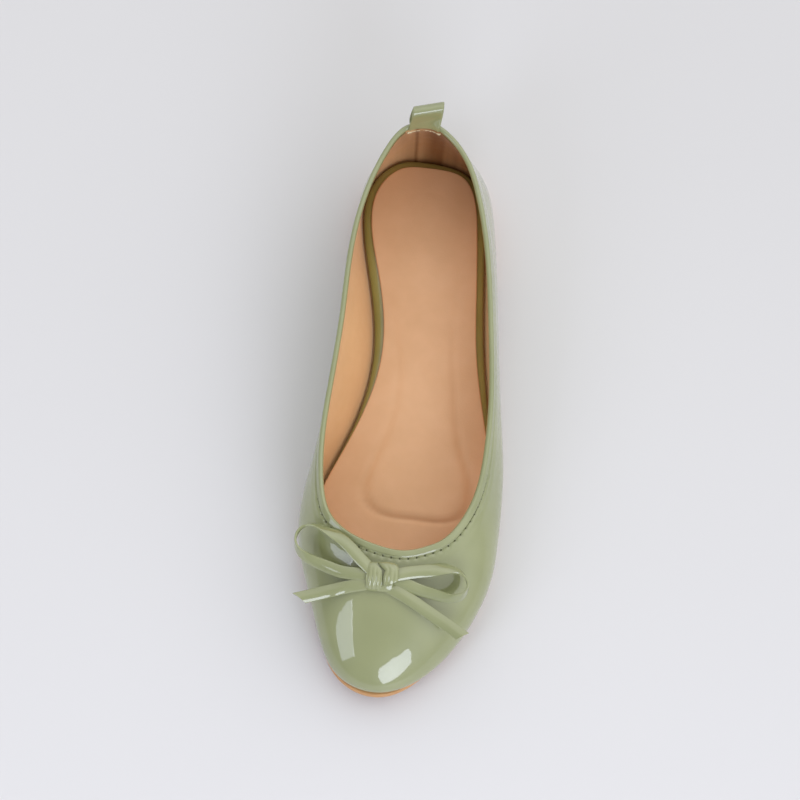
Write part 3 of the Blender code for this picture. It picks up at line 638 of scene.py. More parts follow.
def rubber(name, dark, light):
    """Tan sole, with fine streaks from moulding and buffing."""
    shade = Shade(name, Specular_IOR_Level=0.4)
    shade.tint(shade.noise(1.0, 4.0, 0.6, shade.stretched((90.0, 90.0, 1400.0))), dark, light)
    shade.roughen(shade.noise(300.0, 3.0), 0.42, 0.62)
    shade.feed("Normal", shade.bump(shade.noise(900.0, 5.0, 0.65), 0.25, 0.00012))
    return shade.made


def thread_shade(name, dark, light):
    """Waxed thread, twisted."""
    shade = Shade(name, Specular_IOR_Level=0.4)
    twist = shade.noise(2600.0, 2.0)
    shade.tint(twist, dark, light, 0.35, 0.65)
    shade.roughen(twist, 0.45, 0.7)
    shade.feed("Normal", shade.bump(twist, 0.4, 0.0001))
    return shade.made


GREEN = patent("patent_green", (0.258, 0.280, 0.124, 1), (0.303, 0.323, 0.151, 1))
EDGE_GREEN = patent("insole_edge_green", (0.245, 0.225, 0.050, 1), (0.315, 0.285, 0.072, 1), 0.42)
# The lining's heel colour is painted shade inside the heel's back
LINING = leather(
    "lining_tan", (0.74, 0.445, 0.210, 1), (0.83, 0.520, 0.255, 1), heel=(0.165, 0.056, 0.006, 1)
)
SOCK = leather("sock_tan", (0.71, 0.420, 0.220, 1), (0.81, 0.500, 0.280, 1))
SOLE = rubber("sole_tan", (0.52, 0.27, 0.105, 1), (0.62, 0.345, 0.15, 1))
CREAM = thread_shade("edge_cream", (0.62, 0.52, 0.30, 1), (0.80, 0.72, 0.48, 1))
THREAD = thread_shade("thread_green", (0.25, 0.27, 0.12, 1), (0.32, 0.34, 0.17, 1))
# Painted shade in the stitches' needle holes
HOLE_PAINTED_SHADE = thread_shade("stitch_hole_painted_shade", (0.060, 0.062, 0.018, 1), (0.085, 0.088, 0.030, 1))


SHARP_ANGLE = 50.0  # edges that bend more than this, in degrees, look sharp


def add_object(name, data):
    """Object for a mesh, camera or light, in the scene."""
    made = bpy.data.objects.new(name, data)
    bpy.context.scene.collection.objects.link(made)
    return made


def add_mesh(name, points, faces, shade):
    mesh = bpy.data.meshes.new(name)
    mesh.from_pydata([tuple(point) for point in points], [], [tuple(face) for face in faces])
    mesh.materials.append(shade)
    return add_object(name, mesh)


def solid(name, points, faces, shade, node=None):
    """A piece from points and faces. It rides on the body, and stands for a CAD node where one is named."""
    made = add_mesh(name, points, faces, shade)
    made.data.validate()
    made.data.shade_smooth()
    made.data.set_sharp_from_angle(angle=math.radians(SHARP_ANGLE))
    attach(made, "root")
    if node:
        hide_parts(node)
    return made


def grid_faces(rows, size, closed, first=0):
    """Faces between rows of points, one row after another in the point list."""
    faces = []
    for i in range(rows - 1):
        for j in range(size if closed else size - 1):
            k = (j + 1) % size
            near, far = first + i * size, first + (i + 1) * size
            faces.append((near + k, near + j, far + j, far + k))
    return faces


def tube_faces(rows, size, first, turn=1):
    """Faces of a tube with flat ends. A turn of -1 makes them look the other way."""
    last_row = first + (rows - 1) * size
    ends = [range(first, first + size), range(last_row, last_row + size)[::-1]]
    return [tuple(face)[::turn] for face in grid_faces(rows, size, True, first) + ends]


def shell(name, rings, shade, node=None):
    """Closed wall through rings round the shoe: up one face, over and down the other to the first."""
    size = len(rings[0])
    faces = grid_faces(len(rings) + 1, size, True)
    total = size * len(rings)
    faces = [tuple(index % total for index in face) for face in faces]
    return solid(name, np.concatenate(rings), faces, shade, node)


def loft(name, rings, shade, node=None):
    """Tube through rings of points. A ring's second half mirrors its first, so the ends close in strips."""
    size = len(rings[0])
    faces = grid_faces(len(rings), size, True)
    last_ring = (len(rings) - 1) * size
    for k in range(size // 2):
        near, far = k, k + 1
        low, high = (size - near) % size, (size - far) % size
        for first, turn in ((0, 1), (last_ring, -1)):
            face = [first + near, first + far, first + high, first + low]
            face = list(dict.fromkeys(face))
            if len(face) > 2:
                faces.append(tuple(face[::turn]))
    return solid(name, np.concatenate(rings), faces, shade, node)


def strip(name, grid, thickness, shade, node=None, roundness=3.0):
    """Flat strip with round edges. grid is stations along it by places across it."""
    grid = np.asarray(grid, float)
    along = np.gradient(grid, axis=0)
    across = np.gradient(grid, axis=1)
    face = unit(np.cross(along, across))
    share = np.abs(np.linspace(-1, 1, grid.shape[1]))
    half = thickness / 2 * (1 - share**roundness).clip(0) ** (1 / roundness)
    lift = face * half[None, :, None]
    rings = [
        np.concatenate([middle + up, (middle - up)[-2:0:-1]]) for middle, up in zip(grid, lift)
    ]
    return loft(name, rings, shade, node)


def edge_spread(count):
    """Places across a strip from -1 to 1, closer together at the edges."""
    even = np.linspace(-1, 1, count)
    return np.sin(even * math.pi / 2) * 0.5 + even * 0.5


def filled(name, levels, shade, node):
    """Solid between outlines, from the bottom up. levels are rings of points with a height function
    for the points across the first and the last."""
    rings = [ring for ring, _ in levels]
    size = len(rings[0])
    half = size // 2
    points = list(np.concatenate(rings))
    faces = grid_faces(len(rings), size, True)
    shares = np.linspace(0, 1, SOLE_STEPS + 1)
    for level, turn in ((0, -1), (len(rings) - 1, 1)):
        ring, height = levels[level]
        first = level * size
        rows = []
        for k in range(1, half):
            start, end = ring[k], ring[size - k]
            inner = start + (end - start) * shares[1:-1, None]
            inner[:, 2] = height(inner)
            row = [first + k]
            row += range(len(points), len(points) + len(inner))
            row.append(first + size - k)
            points.extend(inner)
            rows.append(row)
        for near, far in zip(rows, rows[1:]):
            for j in range(len(near) - 1):
                faces.append((near[j], near[j + 1], far[j + 1], far[j])[::turn])
        for tip, row, way in ((first, rows[0], 1), (first + half, rows[-1], -1)):
            for j in range(len(row) - 1):
                faces.append((tip, row[j + 1], row[j])[:: turn * way * -1])
    return solid(name, points, faces, shade, node)


def plan_ring(last, distance, height):
    """The feather edge's plan moved outwards, at heights that a function of its points gives."""
    ring = last.foot + last.foot_out * np.broadcast_to(distance, len(last.foot))[:, None]
    ring[:, 2] = height(ring)
    return ring


def signed_depth(points, outline):
    """How far plan points are inside a closed outline, negative outside."""
    run = np.roll(outline, -1, axis=0) - outline
    best = np.full(len(points), np.inf)
    inside = np.zeros(len(points), bool)
    for (x, y), (dx, dy) in zip(outline, run):
        px, py = points[:, 0] - x, points[:, 1] - y
        share = np.clip((px * dx + py * dy) / (dx * dx + dy * dy), 0, 1)
        best = np.minimum(best, np.hypot(px - share * dx, py - share * dy))
        crosses = (y > points[:, 1]) != (y + dy > points[:, 1])
        if dy:
            inside ^= crosses & (px < dx * (points[:, 1] - y) / dy)
    return np.where(inside, best, -best)


def pad_outline():
    along = column(PAD_TABLE, PAD_COLUMNS, "along")
    across = column(PAD_TABLE, PAD_COLUMNS, "across")
    plan = np.stack([across * BALL_WIDTH, along_to_y(along)], 1)
    step = np.linalg.norm(np.roll(plan, -1, axis=0) - plan, axis=1)
    knots = np.append(0, np.cumsum(step)[:-1])
    return closed_spline(knots, step.sum(), plan, np.linspace(0, step.sum(), PAD_POINTS, endpoint=False))


def stitch_places(last, depth, pitch, ends):
    """Points, runs and normals along a row of stitches round the throat, a pitch apart."""
    share = last.below_topline(depth)
    ring = last.at(share)
    normal = last.normal(share, ring)
    half = len(ring) // 2
    place = np.arange(len(ring))
    outer = (place <= half) & (ring[:, 1] < ends[0])
    inner = (place > half) & (ring[:, 1] < ends[1])
    keep = outer | inner
    ring, normal = ring[keep], normal[keep]
    length = lengths_along(ring)
    at = np.arange(0, length[-1], pitch)
    return [read_at(at, length, rows) for rows in (ring, np.gradient(ring, axis=0), normal)]


def upper_detail(last, share, ring, holes):
    """How far the upper's outer face stands off its plain shape: the dip along the piping, the
    stitches' dimples and puckers, and the seam up the back."""
    depth = (1 - share) * np.linalg.norm(last.upwards(1.0), axis=1)
    side = ramp_up(ring[:, 1], STITCH_ENDS[1] - 0.030, STITCH_ENDS[1] + 0.010)
    lift = np.zeros(len(ring))
    for past, reach, throat, sides in RIDGES:
        lift += swell(depth, BINDING_DEPTH + past, reach) * (throat + (sides - throat) * side)
    if depth.min() < 0.012:
        near = np.linalg.norm(ring[:, None, :] - holes[None, :, :], axis=2)
        closest = near.min(axis=1)
        lift -= DIMPLE_DEPTH * swell(closest, 0, DIMPLE_REACH)
        lift -= PUCKER * swell(closest, 0, PUCKER_REACH) * np.cos(closest / STITCH_PITCH * 2 * math.pi)
    across = np.abs(ring[:, 0] - last.foot[0][0])
    for place, reach, height in SEAM_RIDGES:
        lift += height * swell(across, place, reach) * at_back(ring, SEAM_END)
    return lift


def at_back(ring, end):
    """1 for the points behind a share of the shoe's length, else 0."""
    return (ring[:, 1] > along_to_y(end)).astype(float)


def tab_swell(last, depth, ring):
    """How much thicker the lining is where it covers the pull loop's foot, from 0 to 1."""
    x = np.abs(ring[:, 0] - last.top[0][0] + LOOP_SWAY)
    inside, outside = LOOP_TAB_FADE
    across = 1 - ramp_up(x, LOOP_TAB - inside, LOOP_TAB + outside)
    return across * (1 - ramp_up(depth, *LOOP_TAB_DEPTH)) * at_back(ring, LOOP_TAB_END)


def finer_above(split, rows, fine_rows):
    """Shares of a rib's run from 0 to 1, with rows up to the split and fine rows above it."""
    return np.concatenate([np.linspace(0, split, rows)[:-1], np.linspace(split, 1, fine_rows)])


def make_upper(last, holes):
    """Patent outside and leather lining, each a closed wall, back to back inside the upper."""
    rings = []
    for share in finer_above(*UPPER_ROWS):
        ring = last.at(share)
        lift = upper_detail(last, share, ring, holes)
        rings.append(ring + last.normal(share, ring) * lift[:, None])
    rings += [last.at(share, -WALL * 0.5) for share in np.linspace(1, 0, 8)]
    shell("upper_patent", rings, GREEN, "upper")

    up = unit(last.upwards(1.0))
    run = np.linalg.norm(last.upwards(1.0), axis=1)
    full = LOOP_THICKNESS + LOOP_TAB_COVER
    inner = finer_above(*LINING_ROWS)
    rings = [last.at(share, -WALL * 0.54) for share in inner[::2]]
    rims = []
    for share in inner[::-1]:
        ring = last.at(share)
        x = ring[:, 0] - last.foot[0][0]
        ridge = LINING_SEAM_RIDGE * swell(x, LINING_SEAM, LINING_SEAM_REACH) * at_back(ring, SEAM_END)
        swollen = tab_swell(last, (1 - share) * run, ring) * full
        rims.append(ring - last.normal(share, ring) * (WALL + ridge + swollen)[:, None])
    top, inside = rings[-1], rims[0]
    tab = tab_swell(last, run * 0, last.top)[:, None]
    for rise, over in LOOP_TAB_RIM:
        rings.append(top + (inside - top) * over + up * (rise * tab + rise / 9))
    rings += rims
    shell("upper_lining", rings, LINING)


def make_piping(last):
    """Binding folded over the topline: a narrow bead, its outer leg pressed down to a fine edge."""
    edge = last.at(1.0)
    normal = last.normal(1.0, edge)
    up = unit(last.upwards(1.0))
    place = whole_turn(len(edge))
    wave = 1 + sum(height * np.sin(place * number + start) for height, number, start in BEAD_WAVES)
    front = 1 - ramp_up(edge[:, 1], STITCH_ENDS[1] - 0.024, STITCH_ENDS[1] + 0.020)
    out = (BEAD_OUT - BEAD_OUT_LESS * front) * wave
    inside = BEAD_IN - BEAD_IN_LESS * front
    middle = (out - inside - WALL) / 2
    half = (out + inside + WALL) / 2
    centre = edge + normal * middle[:, None] + up * GAP
    low = BINDING_DEPTH
    leg = last.below

    def bend(radius, rise, angles):
        rings = []
        for angle in np.radians(angles):
            flat = normal * (math.cos(angle) * radius)[:, None]
            rings.append(centre + flat + up * (math.sin(angle) * rise)[:, None])
        return rings

    flush = 1 - 0.9 * front
    rings = [
        leg(low, 0.00006),
        leg(low, out * 0.55 * flush),
        leg(low - 0.00025, out * 0.80 * flush),
    ]
    for share in np.linspace(0.75, 0.1, 5):
        rings.append(leg(low * share, out * (1 - 0.16 * math.sin(share * math.pi) * (1 - front))))
    rings += bend(half, half * (1 - 0.35 * front), np.linspace(0, 180, 15))
    deep = BINDING_INNER_DEPTH
    rings += [leg(depth, -WALL - inside) for depth in np.linspace(0.0002, deep - 0.0006, 5)]
    rings += [
        leg(deep - 0.00015, -WALL - inside * 0.7),
        leg(deep, -WALL - 0.00008),
        leg(deep - 0.0003, -WALL + 0.0002),
        leg(0.0006, -WALL + 0.0002),
        leg(0.0006, -0.0002),
    ]
    shell("topline_piping", rings[::-1], GREEN, "topline_binding")


def thread_rings(start, middle, end):
    """Rings of a short bent thread with pointed ends."""
    path = smooth_path([start, middle, end], THREAD_ROWS)
    run = unit(np.gradient(path, axis=0))
    side = unit(np.cross(run, (middle - (start + end) / 2)))
    face = np.cross(side, run)
    size = np.sin(np.linspace(0.12, math.pi - 0.12, len(path))) ** 0.35 * THREAD_RADIUS
    angles = whole_turn(THREAD_SIDES)
    rings = []
    for spot, right, front, radius in zip(path, side, face, size):
        rings.append([spot + (right * math.cos(a) + front * math.sin(a)) * radius for a in angles])
    return rings


def sewn(name, places, shade):
    """Thread from hole to hole along stitch places, as one piece."""
    spots, _, normals = places
    points, faces = [], []
    for near, far, normal in zip(spots, spots[1:], unit(normals)[:-1]):
        span = (far - near) * (1 - STITCH_SHARE) / 2
        start, end = near + span - normal * STITCH_SINK, far - span - normal * STITCH_SINK
        rings = thread_rings(start, (near + far) / 2 + normal * STITCH_RISE, end)
        faces += tube_faces(len(rings), THREAD_SIDES, len(points))
        points.extend(point for ring in rings for point in ring)
    solid(name, points, faces, shade)


def sewn_hole_painted_shade(name, places, shade):
    """Painted shade in the needle holes: dark flat drops let into the leather."""
    spots, runs, normals = places
    points, faces = [], []
    angles = whole_turn(HOLE_SIDES)
    for spot, run, normal in zip(spots, unit(runs), unit(normals)):
        cross = np.cross(normal, run)
        faces += tube_faces(HOLE_ROWS, HOLE_SIDES, len(points), -1)
        for lift in np.linspace(-1, 1, HOLE_ROWS + 2)[1:-1]:
            wide = math.sqrt(1 - lift * lift) * HOLE_RADIUS
            for angle in angles:
                flat = run * math.cos(angle) * HOLE_STRETCH + cross * math.sin(angle)
                points.append(spot + flat * wide + normal * (lift * HOLE_HEIGHT - HOLE_SINK))
    solid(name, points, faces, shade)


def make_outsole(last):
    """Thin sole with rounded edges and a groove let into its underside."""
    chamfer = SOLE_THICKNESS * 0.30
    levels = []
    outline = plan_ring(last, last.margin, lambda p: sole_underside(p[:, 1]))[:, :2]

    def under(p):
        base = sole_underside(p[:, 1])
        depth = signed_depth(p[:, :2], outline[::4])
        return base + 0.0005 * swell(depth, 0.0055, 0.0007)

    turns = np.linspace(0, 90, 5)
    for base, way, bend in ((0.0, 1, turns), (SOLE_THICKNESS, -1, turns[::-1])):
        for turn in np.radians(bend):
            inset = chamfer * (1 - math.sin(turn)) * 0.8
            levels.append((last.margin - inset, base + way * chamfer * (1 - math.cos(turn))))
    stack = []
    for number, (out, rise) in enumerate(levels):
        ring = plan_ring(last, out, lambda p: sole_underside(p[:, 1]) + rise)
        stack.append((ring, under if number == 0 else lambda p: sole_top(p[:, 1])))
    filled("outsole_sheet", stack, SOLE, "outsole")


def heel_side(side, front, count):
    """One side of the outsole's outline as far as the heel's front face, as evenly spread points."""
    kept = side[side[:, 1] > front + HEEL_TAPER]
    x = np.interp(-front, -side[:, 1], side[:, 0])
    kept = np.vstack([kept, (x, front, 0.0)])
    at = np.linspace(0, len(kept) - 1, count)
    return read_at(at, np.arange(len(kept)), kept)


def make_heel(last):
    """Low block with a top piece: a fine groove runs round it above the floor."""
    count, across = 90, 24
    front = along_to_y(HEEL_LENGTH / LENGTH)
    half = RIBS // 2
    top = HEEL_LIFT - GAP
    profile = (
        (0.0006, 0.0000),
        (0.0002, 0.0001),
        (0.0000, 0.0004),
        (0.0000, 0.0024),
        (0.0002, 0.0026),
        (0.0003, 0.0027),
        (0.0002, 0.0028),
        (0.0000, 0.0030),
        (0.0000, 0.0050),
        (0.0000, top - 0.0004),
        (0.0004, top),
    )
    rings = []
    for inset, height in profile:
        taper = HEEL_TAPER * (1 - height / top)
        ring = plan_ring(last, last.margin - HEEL_INSET - taper - inset, lambda p: p[:, 0] * 0)
        outer = heel_side(ring[: half + 1], front + inset, count)
        inner = heel_side(np.vstack([ring[:1], ring[: half - 1 : -1]]), front + inset, count)
        face = np.linspace(outer[-1], inner[-1], across + 1)[1:-1]
        loop = np.vstack([outer, face, inner[:0:-1]])
        loop[:, 2] = height
        if height > top - 0.001:
            loop[:, 2] = sole_underside(loop[:, 1]) - GAP - (top - height)
        rings.append(loop)
    size = len(rings[0])
    points = list(np.concatenate(rings))
    faces = grid_faces(len(rings), size, True)
    for level, turn in ((0, -1), (len(rings) - 1, 1)):
        first = level * size
        right = [first + k for k in range(count)]
        left = [first] + [first + size - k for k in range(1, count)]
        for k in range(count - 1):
            face = list(dict.fromkeys((right[k], left[k], left[k + 1], right[k + 1])))
            faces.append(tuple(face[::turn]))
        front_row = [first + count - 1 + k for k in range(across + 1)]
        faces.append(tuple(front_row[::turn]))
    solid("heel_block", points, faces, SOLE, "heel")


def make_insole(last):
    """Insole board in its green cover, whose rounded edge slopes from the wall up to the sock."""
    outer = -(WALL + 2 * GAP)

    def height(rise):
        return lambda p: sole_top(p[:, 1]) + GAP + rise

    stack = [(plan_ring(last, outer, height(0.0)), height(0.0))]
    for turn in np.radians(np.linspace(0, 90, 9)):
        inset = (1 - math.cos(turn)) * last.rand
        rise = INSOLE_THICKNESS * (0.45 + 0.55 * math.sin(turn))
        stack.append((plan_ring(last, outer - inset, height(rise)), height(rise)))
    filled("insole_cover", stack, EDGE_GREEN, "insole")


def make_sock(last):
    """Leather sock over a thin foam footprint, which shows as a raised form in a pressed line."""
    outline = pad_outline()
    edge = -(WALL + GAP) - GAP - last.rand - 0.0001
    base = SOLE_THICKNESS + INSOLE_THICKNESS + 2 * GAP

    def relief(p):
        depth = signed_depth(p[:, :2], outline)
        rise = PAD_RISE * ramp_up(depth, -PAD_EDGE * 0.3, PAD_EDGE * 1.6)
        rise = rise - PAD_GROOVE * swell(depth, -0.0004, 0.0010)
        side = signed_depth(p[:, :2], border)
        start, end, least = PAD_FADE
        grown = least + (1 - least) * ramp_up(-p[:, 1], -along_to_y(start), -along_to_y(end))
        return rise * grown * ramp_up(side, 0.0003, 0.0030)

    def height(rise, relieved=False):
        def read(p):
            z = sole_underside(p[:, 1]) + base + rise
            return z + relief(p) if relieved else z

        return read

    border = plan_ring(last, edge - SOCK_THICKNESS * 0.5, height(0.0))[::3, :2]
    stack = [(plan_ring(last, edge, height(0.0)), height(0.0))]
    for turn in np.radians(np.linspace(10, 90, 6)):
        inset = SOCK_THICKNESS * 0.5 * (1 - math.cos(turn))
        rise = SOCK_THICKNESS * (0.35 + 0.65 * math.sin(turn))
        stack.append((plan_ring(last, edge - inset, height(rise)), height(rise, True)))
    made = filled("sock_leather", stack, SOCK, "insole_sock")


def back_profile(ring, x):
    """Place along the shoe and height of a ring, at a place across its back."""
    reach = round(len(ring) * BACK_SHARE)
    back = np.vstack([ring[-reach:], ring[: reach + 1]])
    order = np.argsort(back[:, 0])
    return [float(np.interp(x, back[order, 0], back[order, axis])) for axis in (1, 2)]


def make_pull_loop(last):
    """Strip that rises from inside the topline's back, folds over and is sewn down the outside."""
    away = 2 * GAP + BINDING_THICKNESS + LOOP_THICKNESS / 2 + LOOP_SLACK
    mid_y, mid_z = back_profile(last.top, last.top[0][0])
    top_y = mid_y - WALL - away + LOOP_LEAN
    turn = math.tan(math.radians(LOOP_TURN))
    inner_ring = last.at(1.0, -WALL - LOOP_THICKNESS / 2 - 0.00012)
    outer_ring = last.at(1.0, away)
    tail_rings = [last.below(LOOP_TAIL * share, away) for share in np.linspace(0.125, 1, 4)]
    columns = []
    for share in edge_spread(21):
        top_x = last.top[0][0] + share * LOOP_WIDTH / 2
        foot_x = top_x - LOOP_SWAY
        foot_z = back_profile(last.top, foot_x)[1]
        foot = np.array([foot_x, back_profile(inner_ring, foot_x)[0], foot_z])
        top = np.array([top_x, top_y + turn * share * LOOP_WIDTH / 2, mid_z])
        points = [
            foot + (top - foot) * over + (0, depth * LOOP_DEPTH, rise * LOOP_RISE)
            for over, depth, rise in LOOP_TABLE
        ]
        spring_y = back_profile(outer_ring, foot_x)[0] + LOOP_SPRING
        points.append((foot_x, spring_y, foot_z + LOOP_SPRING_RISE))
        points += [(foot_x, *back_profile(ring, foot_x)) for ring in tail_rings]
        columns.append(smooth_path(points, 110))
    grid = np.array(columns).transpose(1, 0, 2)
    strip("pull_loop_strip", grid, LOOP_THICKNESS, GREEN, "pull_loop", 6.0)
    reach = WALL + LOOP_THICKNESS + CREAM_OUT
    rings = [last.below(depth, -reach) for depth in CREAM_DEPTHS]
    rows = []
    for share in np.linspace(-1, 1, 60):
        x = last.top[0][0] - LOOP_SWAY + share * (LOOP_TAB - CREAM_SHORT)
        frayed = CREAM_FRAY * math.sin(share * 37) * math.sin(share * 11 + 0.5)
        profile = [back_profile(ring, x) for ring in rings]
        rows.append([(x, y + frayed, z + frayed + CREAM_RISE) for y, z in profile])
    strip("pull_loop_stitching", np.array(rows), CREAM_THICKNESS, CREAM)


class Vamp:
    """Where the bow lies: the upper's front, found by looking straight down on it."""

    def __init__(self, last):
        rings = [last.at(share) for share in np.linspace(0, 1, 41)]
        points = [tuple(point) for ring in rings for point in ring]
        self.tree = BVHTree.FromPolygons(points, grid_faces(len(rings), len(rings[0]), True))
        throat = last.top[len(last.top) // 2]
        self.knot = Vector((throat[0] - BOW_SHIFT, throat[1] - BOW_SETBACK, 0.0))
        self.knot.z = self.height(self.knot.x, self.knot.y)

    def height(self, x, y):
        """Height of the upper at a place seen from above, 0 off the shoe."""
        spot = self.tree.ray_cast(Vector((x, y, 1.0)), Vector((0, 0, -1)))[0]
        return spot.z if spot else 0.0


def make_ribbon(name, vamp):
    """Folded patent ribbon: its edges round, its toe side folded down, its run a little uneven."""
    out, back, rise, roll = (column(RIBBON_TABLES[name], RIBBON_COLUMNS, c) for c in RIBBON_COLUMNS)
    x = vamp.knot.x + out * BOW_REACH
    y = vamp.knot.y + back * BOW_REACH
    z = vamp.knot.z + rise * RIBBON_WIDTH
    is_loop = "loop" in name
    line = smooth_path(np.column_stack([x, y, z, roll]), LOOP_STEPS if is_loop else TAIL_STEPS)
    twist = 1 - ramp_up(np.linspace(0, 1, len(line)), 0.25, 0.5)
    line[:, 3] += RIBBON_TWIST.get(name, 0.0) * twist
    step = line[0] - line[1]
    count = round(RIBBON_TUCK / np.linalg.norm(step[:2]))
    before = [line[0] + step * k for k in range(count, 0, -1)]
    after = [line[-1] + (line[-1] - line[-2]) * k for k in range(1, count)] if is_loop else []
    line = np.vstack([before, line] + after)
    run = np.gradient(line[:, :2], axis=0)
    side = unit(np.column_stack([-run[:, 1], run[:, 0], np.zeros(len(run))]))
    turn = np.radians(line[:, 3])
    across = side * np.cos(turn)[:, None] + np.array([0, 0, 1.0]) * np.sin(turn)[:, None]
    lowest = np.zeros(len(line))
    for reach in np.linspace(-0.5, 0.5, 5) * RIBBON_WIDTH:
        edge = across * reach
        under = [vamp.height(p[0], p[1]) for p in line[:, :3] + edge]
        lowest = np.maximum(lowest, under - edge[:, 2])
    lowest += GAP + RIBBON_THICKNESS / 2
    path = np.column_stack([line[:, :2], np.maximum(line[:, 2], lowest)])
    run = unit(np.gradient(path, axis=0))
    across = unit(across - run * np.sum(run * across, axis=1)[:, None])
    face = np.cross(run, across)
    level = face[:, 2]
    toewards = -across[:, 1]
    shares = edge_spread(21)
    cut = TAIL_CUTS.get(name, 0.0)
    length = lengths_along(path)
    ripple = RIBBON_RIPPLE * np.sin(length * 420.0) * np.sin(length * 137.0 + 0.7)
    rows = []
    for k, (spot, side, up, ahead) in enumerate(zip(path, across, face, run)):
        front = shares * toewards[k]
        crown = RIBBON_CROWN * (0.5 - 0.4 * shares**2 - 2.3 * front.clip(0) ** 1.6) * level[k]
        slip = cut * shares / 2 * (k / (len(path) - 1)) ** 6
        row = spot + np.outer(shares * RIBBON_WIDTH / 2, side)
        row = row + np.outer(crown + ripple[k] * shares, up) + np.outer(slip, ahead)
        rows.append(row)
    strip(name + "_ribbon", np.array(rows), RIBBON_THICKNESS, GREEN, name, 4.0)


def knot_band(vamp, band):
    """Grid of points of one band of the knot."""
    turns, lefts, rights, folds = (np.array(values, float) for values in zip(*band["rows"]))
    tall = KNOT_SIZE[2] - band["drop"]
    rows = []
    for step in np.linspace(0, 1, KNOT_ROWS):
        row = []
        for share in edge_spread(KNOT_COLUMNS):
            first = np.interp(share, (-1, 1), band["start"])
            final = np.interp(share, (-1, 0, 1), band["end"])
            turn = first + (final - first) * step
            left, right, fold = (np.interp(turn, turns, values) for values in (lefts, rights, folds))
            notch = 0.00016 * math.sin(turn / 9.0) * share**8
            angle = math.radians(turn)
            x = (left + right) / 2 + share * ((right - left) / 2 + notch)
            y = -math.cos(angle) * KNOT_SIZE[1] / 2 * (1 - 0.08 * share**2)
            lift = math.sin(angle) ** 0.7 * tall * (1 - 0.12 * share**2)
            pleat = KNOT_PLEAT * fold * math.cos(share * band["pleats"] * math.pi + 0.6 * math.cos(angle))
            place = vamp.knot.x + x + KNOT_SLIP[0], vamp.knot.y + y + KNOT_SLIP[1]
            row.append((*place, vamp.height(*place) + lift + KNOT_SEAT + pleat))
        rows.append(row)
    return np.array(rows)


def make_knot(vamp):
    for name, band in KNOT_BANDS.items():
        node = "bow_knot" if name == "knot_core" else None
        strip(name, knot_band(vamp, band), band["thickness"], GREEN, node)


last = Last(RIBS)
row_depth = BINDING_DEPTH + STITCH_SETBACK
throat_row = stitch_places(last, row_depth, STITCH_PITCH, STITCH_ENDS)
make_upper(last, throat_row[0])
make_piping(last)
sewn("throat_thread", throat_row, THREAD)
# Dark drops of painted shade in the needle holes
sewn_hole_painted_shade("throat_hole_painted_shade", throat_row, HOLE_PAINTED_SHADE)
make_outsole(last)
make_heel(last)
make_insole(last)
make_sock(last)
make_pull_loop(last)
vamp = Vamp(last)
for ribbon in RIBBON_TABLES:
    make_ribbon(ribbon, vamp)
make_knot(vamp)


# Camera: the photograph's place and lens, turned so that this one shoe is in the middle
VIEW_TURN = 5.057  # degrees round from the toe end
VIEW_HEIGHT = 71.0  # degrees above the floor
VIEW_DISTANCE = 1.1825
VIEW_AIM = Vector((-0.02635, -0.08899, 0.025))
FOCAL_PIXELS = 2823.0
PICTURE_PIXELS = 800.0
AIM_PIXEL = 470.0  # where the photograph has VIEW_AIM
SHOE_PIXEL = 529.0  # where the photograph has the middle of the shoe
SENSOR = 36.0


def direction(turn, height):
    """Unit vector from the shoe towards a place, degrees round from the toe end and above the floor."""
    turn, height = math.radians(turn), math.radians(height)
    level = math.cos(height)
    return Vector((math.sin(turn) * level, -math.cos(turn) * level, math.sin(height)))


def make_camera():
    back = direction(VIEW_TURN, VIEW_HEIGHT)
    right = Vector((math.cos(math.radians(VIEW_TURN)), math.sin(math.radians(VIEW_TURN)), 0))
    spot = VIEW_AIM + back * VIEW_DISTANCE
    swing = math.atan((SHOE_PIXEL - AIM_PIXEL) / FOCAL_PIXELS)
    turn = Matrix.Rotation(-swing, 3, back.cross(right))
    back, right = turn @ back, turn @ right
    data = bpy.data.cameras.new("camera")
    data.sensor_width = SENSOR
    data.lens = FOCAL_PIXELS / PICTURE_PIXELS * SENSOR
    made = add_object("camera", data)
    place = Matrix((right, back.cross(right), back)).transposed().to_4x4()
    place.translation = spot
    made.matrix_world = place
    bpy.context.scene.camera = made


def window(name, outline, aim, strength):
    """Lit pane that faces the shoe, as the corners of its outline seen from the place it is aimed at."""
    pane = bpy.data.materials.new(name)
    pane.use_nodes = True
    tree = pane.node_tree
    tree.nodes.remove(tree.nodes["Principled BSDF"])
    glow = add_node(tree, "ShaderNodeEmission", {"Color": WINDOW_COLOUR, "Strength": strength})
    tree.links.new(glow.outputs["Emission"], tree.nodes["Material Output"].inputs["Surface"])
    corners = [Vector(aim) + direction(*corner) * WINDOW_DISTANCE for corner in outline]
    made = add_mesh(name, corners, [range(len(corners))], pane)
    made.visible_camera = False
    made.visible_shadow = False


def fill_light():
    """Large soft box over the shoe, too weak to show in the patent."""
    data = bpy.data.lights.new("fill", "AREA")
    data.shape = "RECTANGLE"
    data.size, data.size_y = FILL_SIZE
    data.energy = FILL_POWER
    made = add_object("fill", data)
    away = direction(*FILL_PLACE)
    place = away.to_track_quat("Z", "Y").to_matrix().to_4x4()
    place.translation = away * FILL_DISTANCE
    made.matrix_world = place
    made.visible_camera = False
    made.visible_glossy = False


def make_floor():
    shade = Shade("floor_pale", Roughness=0.6, Specular_IOR_Level=0.2)
    shade.tint(shade.noise(3.0, 2.0), FLOOR_DARK, FLOOR_LIGHT)
    corners = [(x * FLOOR_REACH, y * FLOOR_REACH, 0) for x, y in ((-1, -1), (1, -1), (1, 1), (-1, 1))]
    made = add_mesh("floor", corners, [range(4)], shade.made)


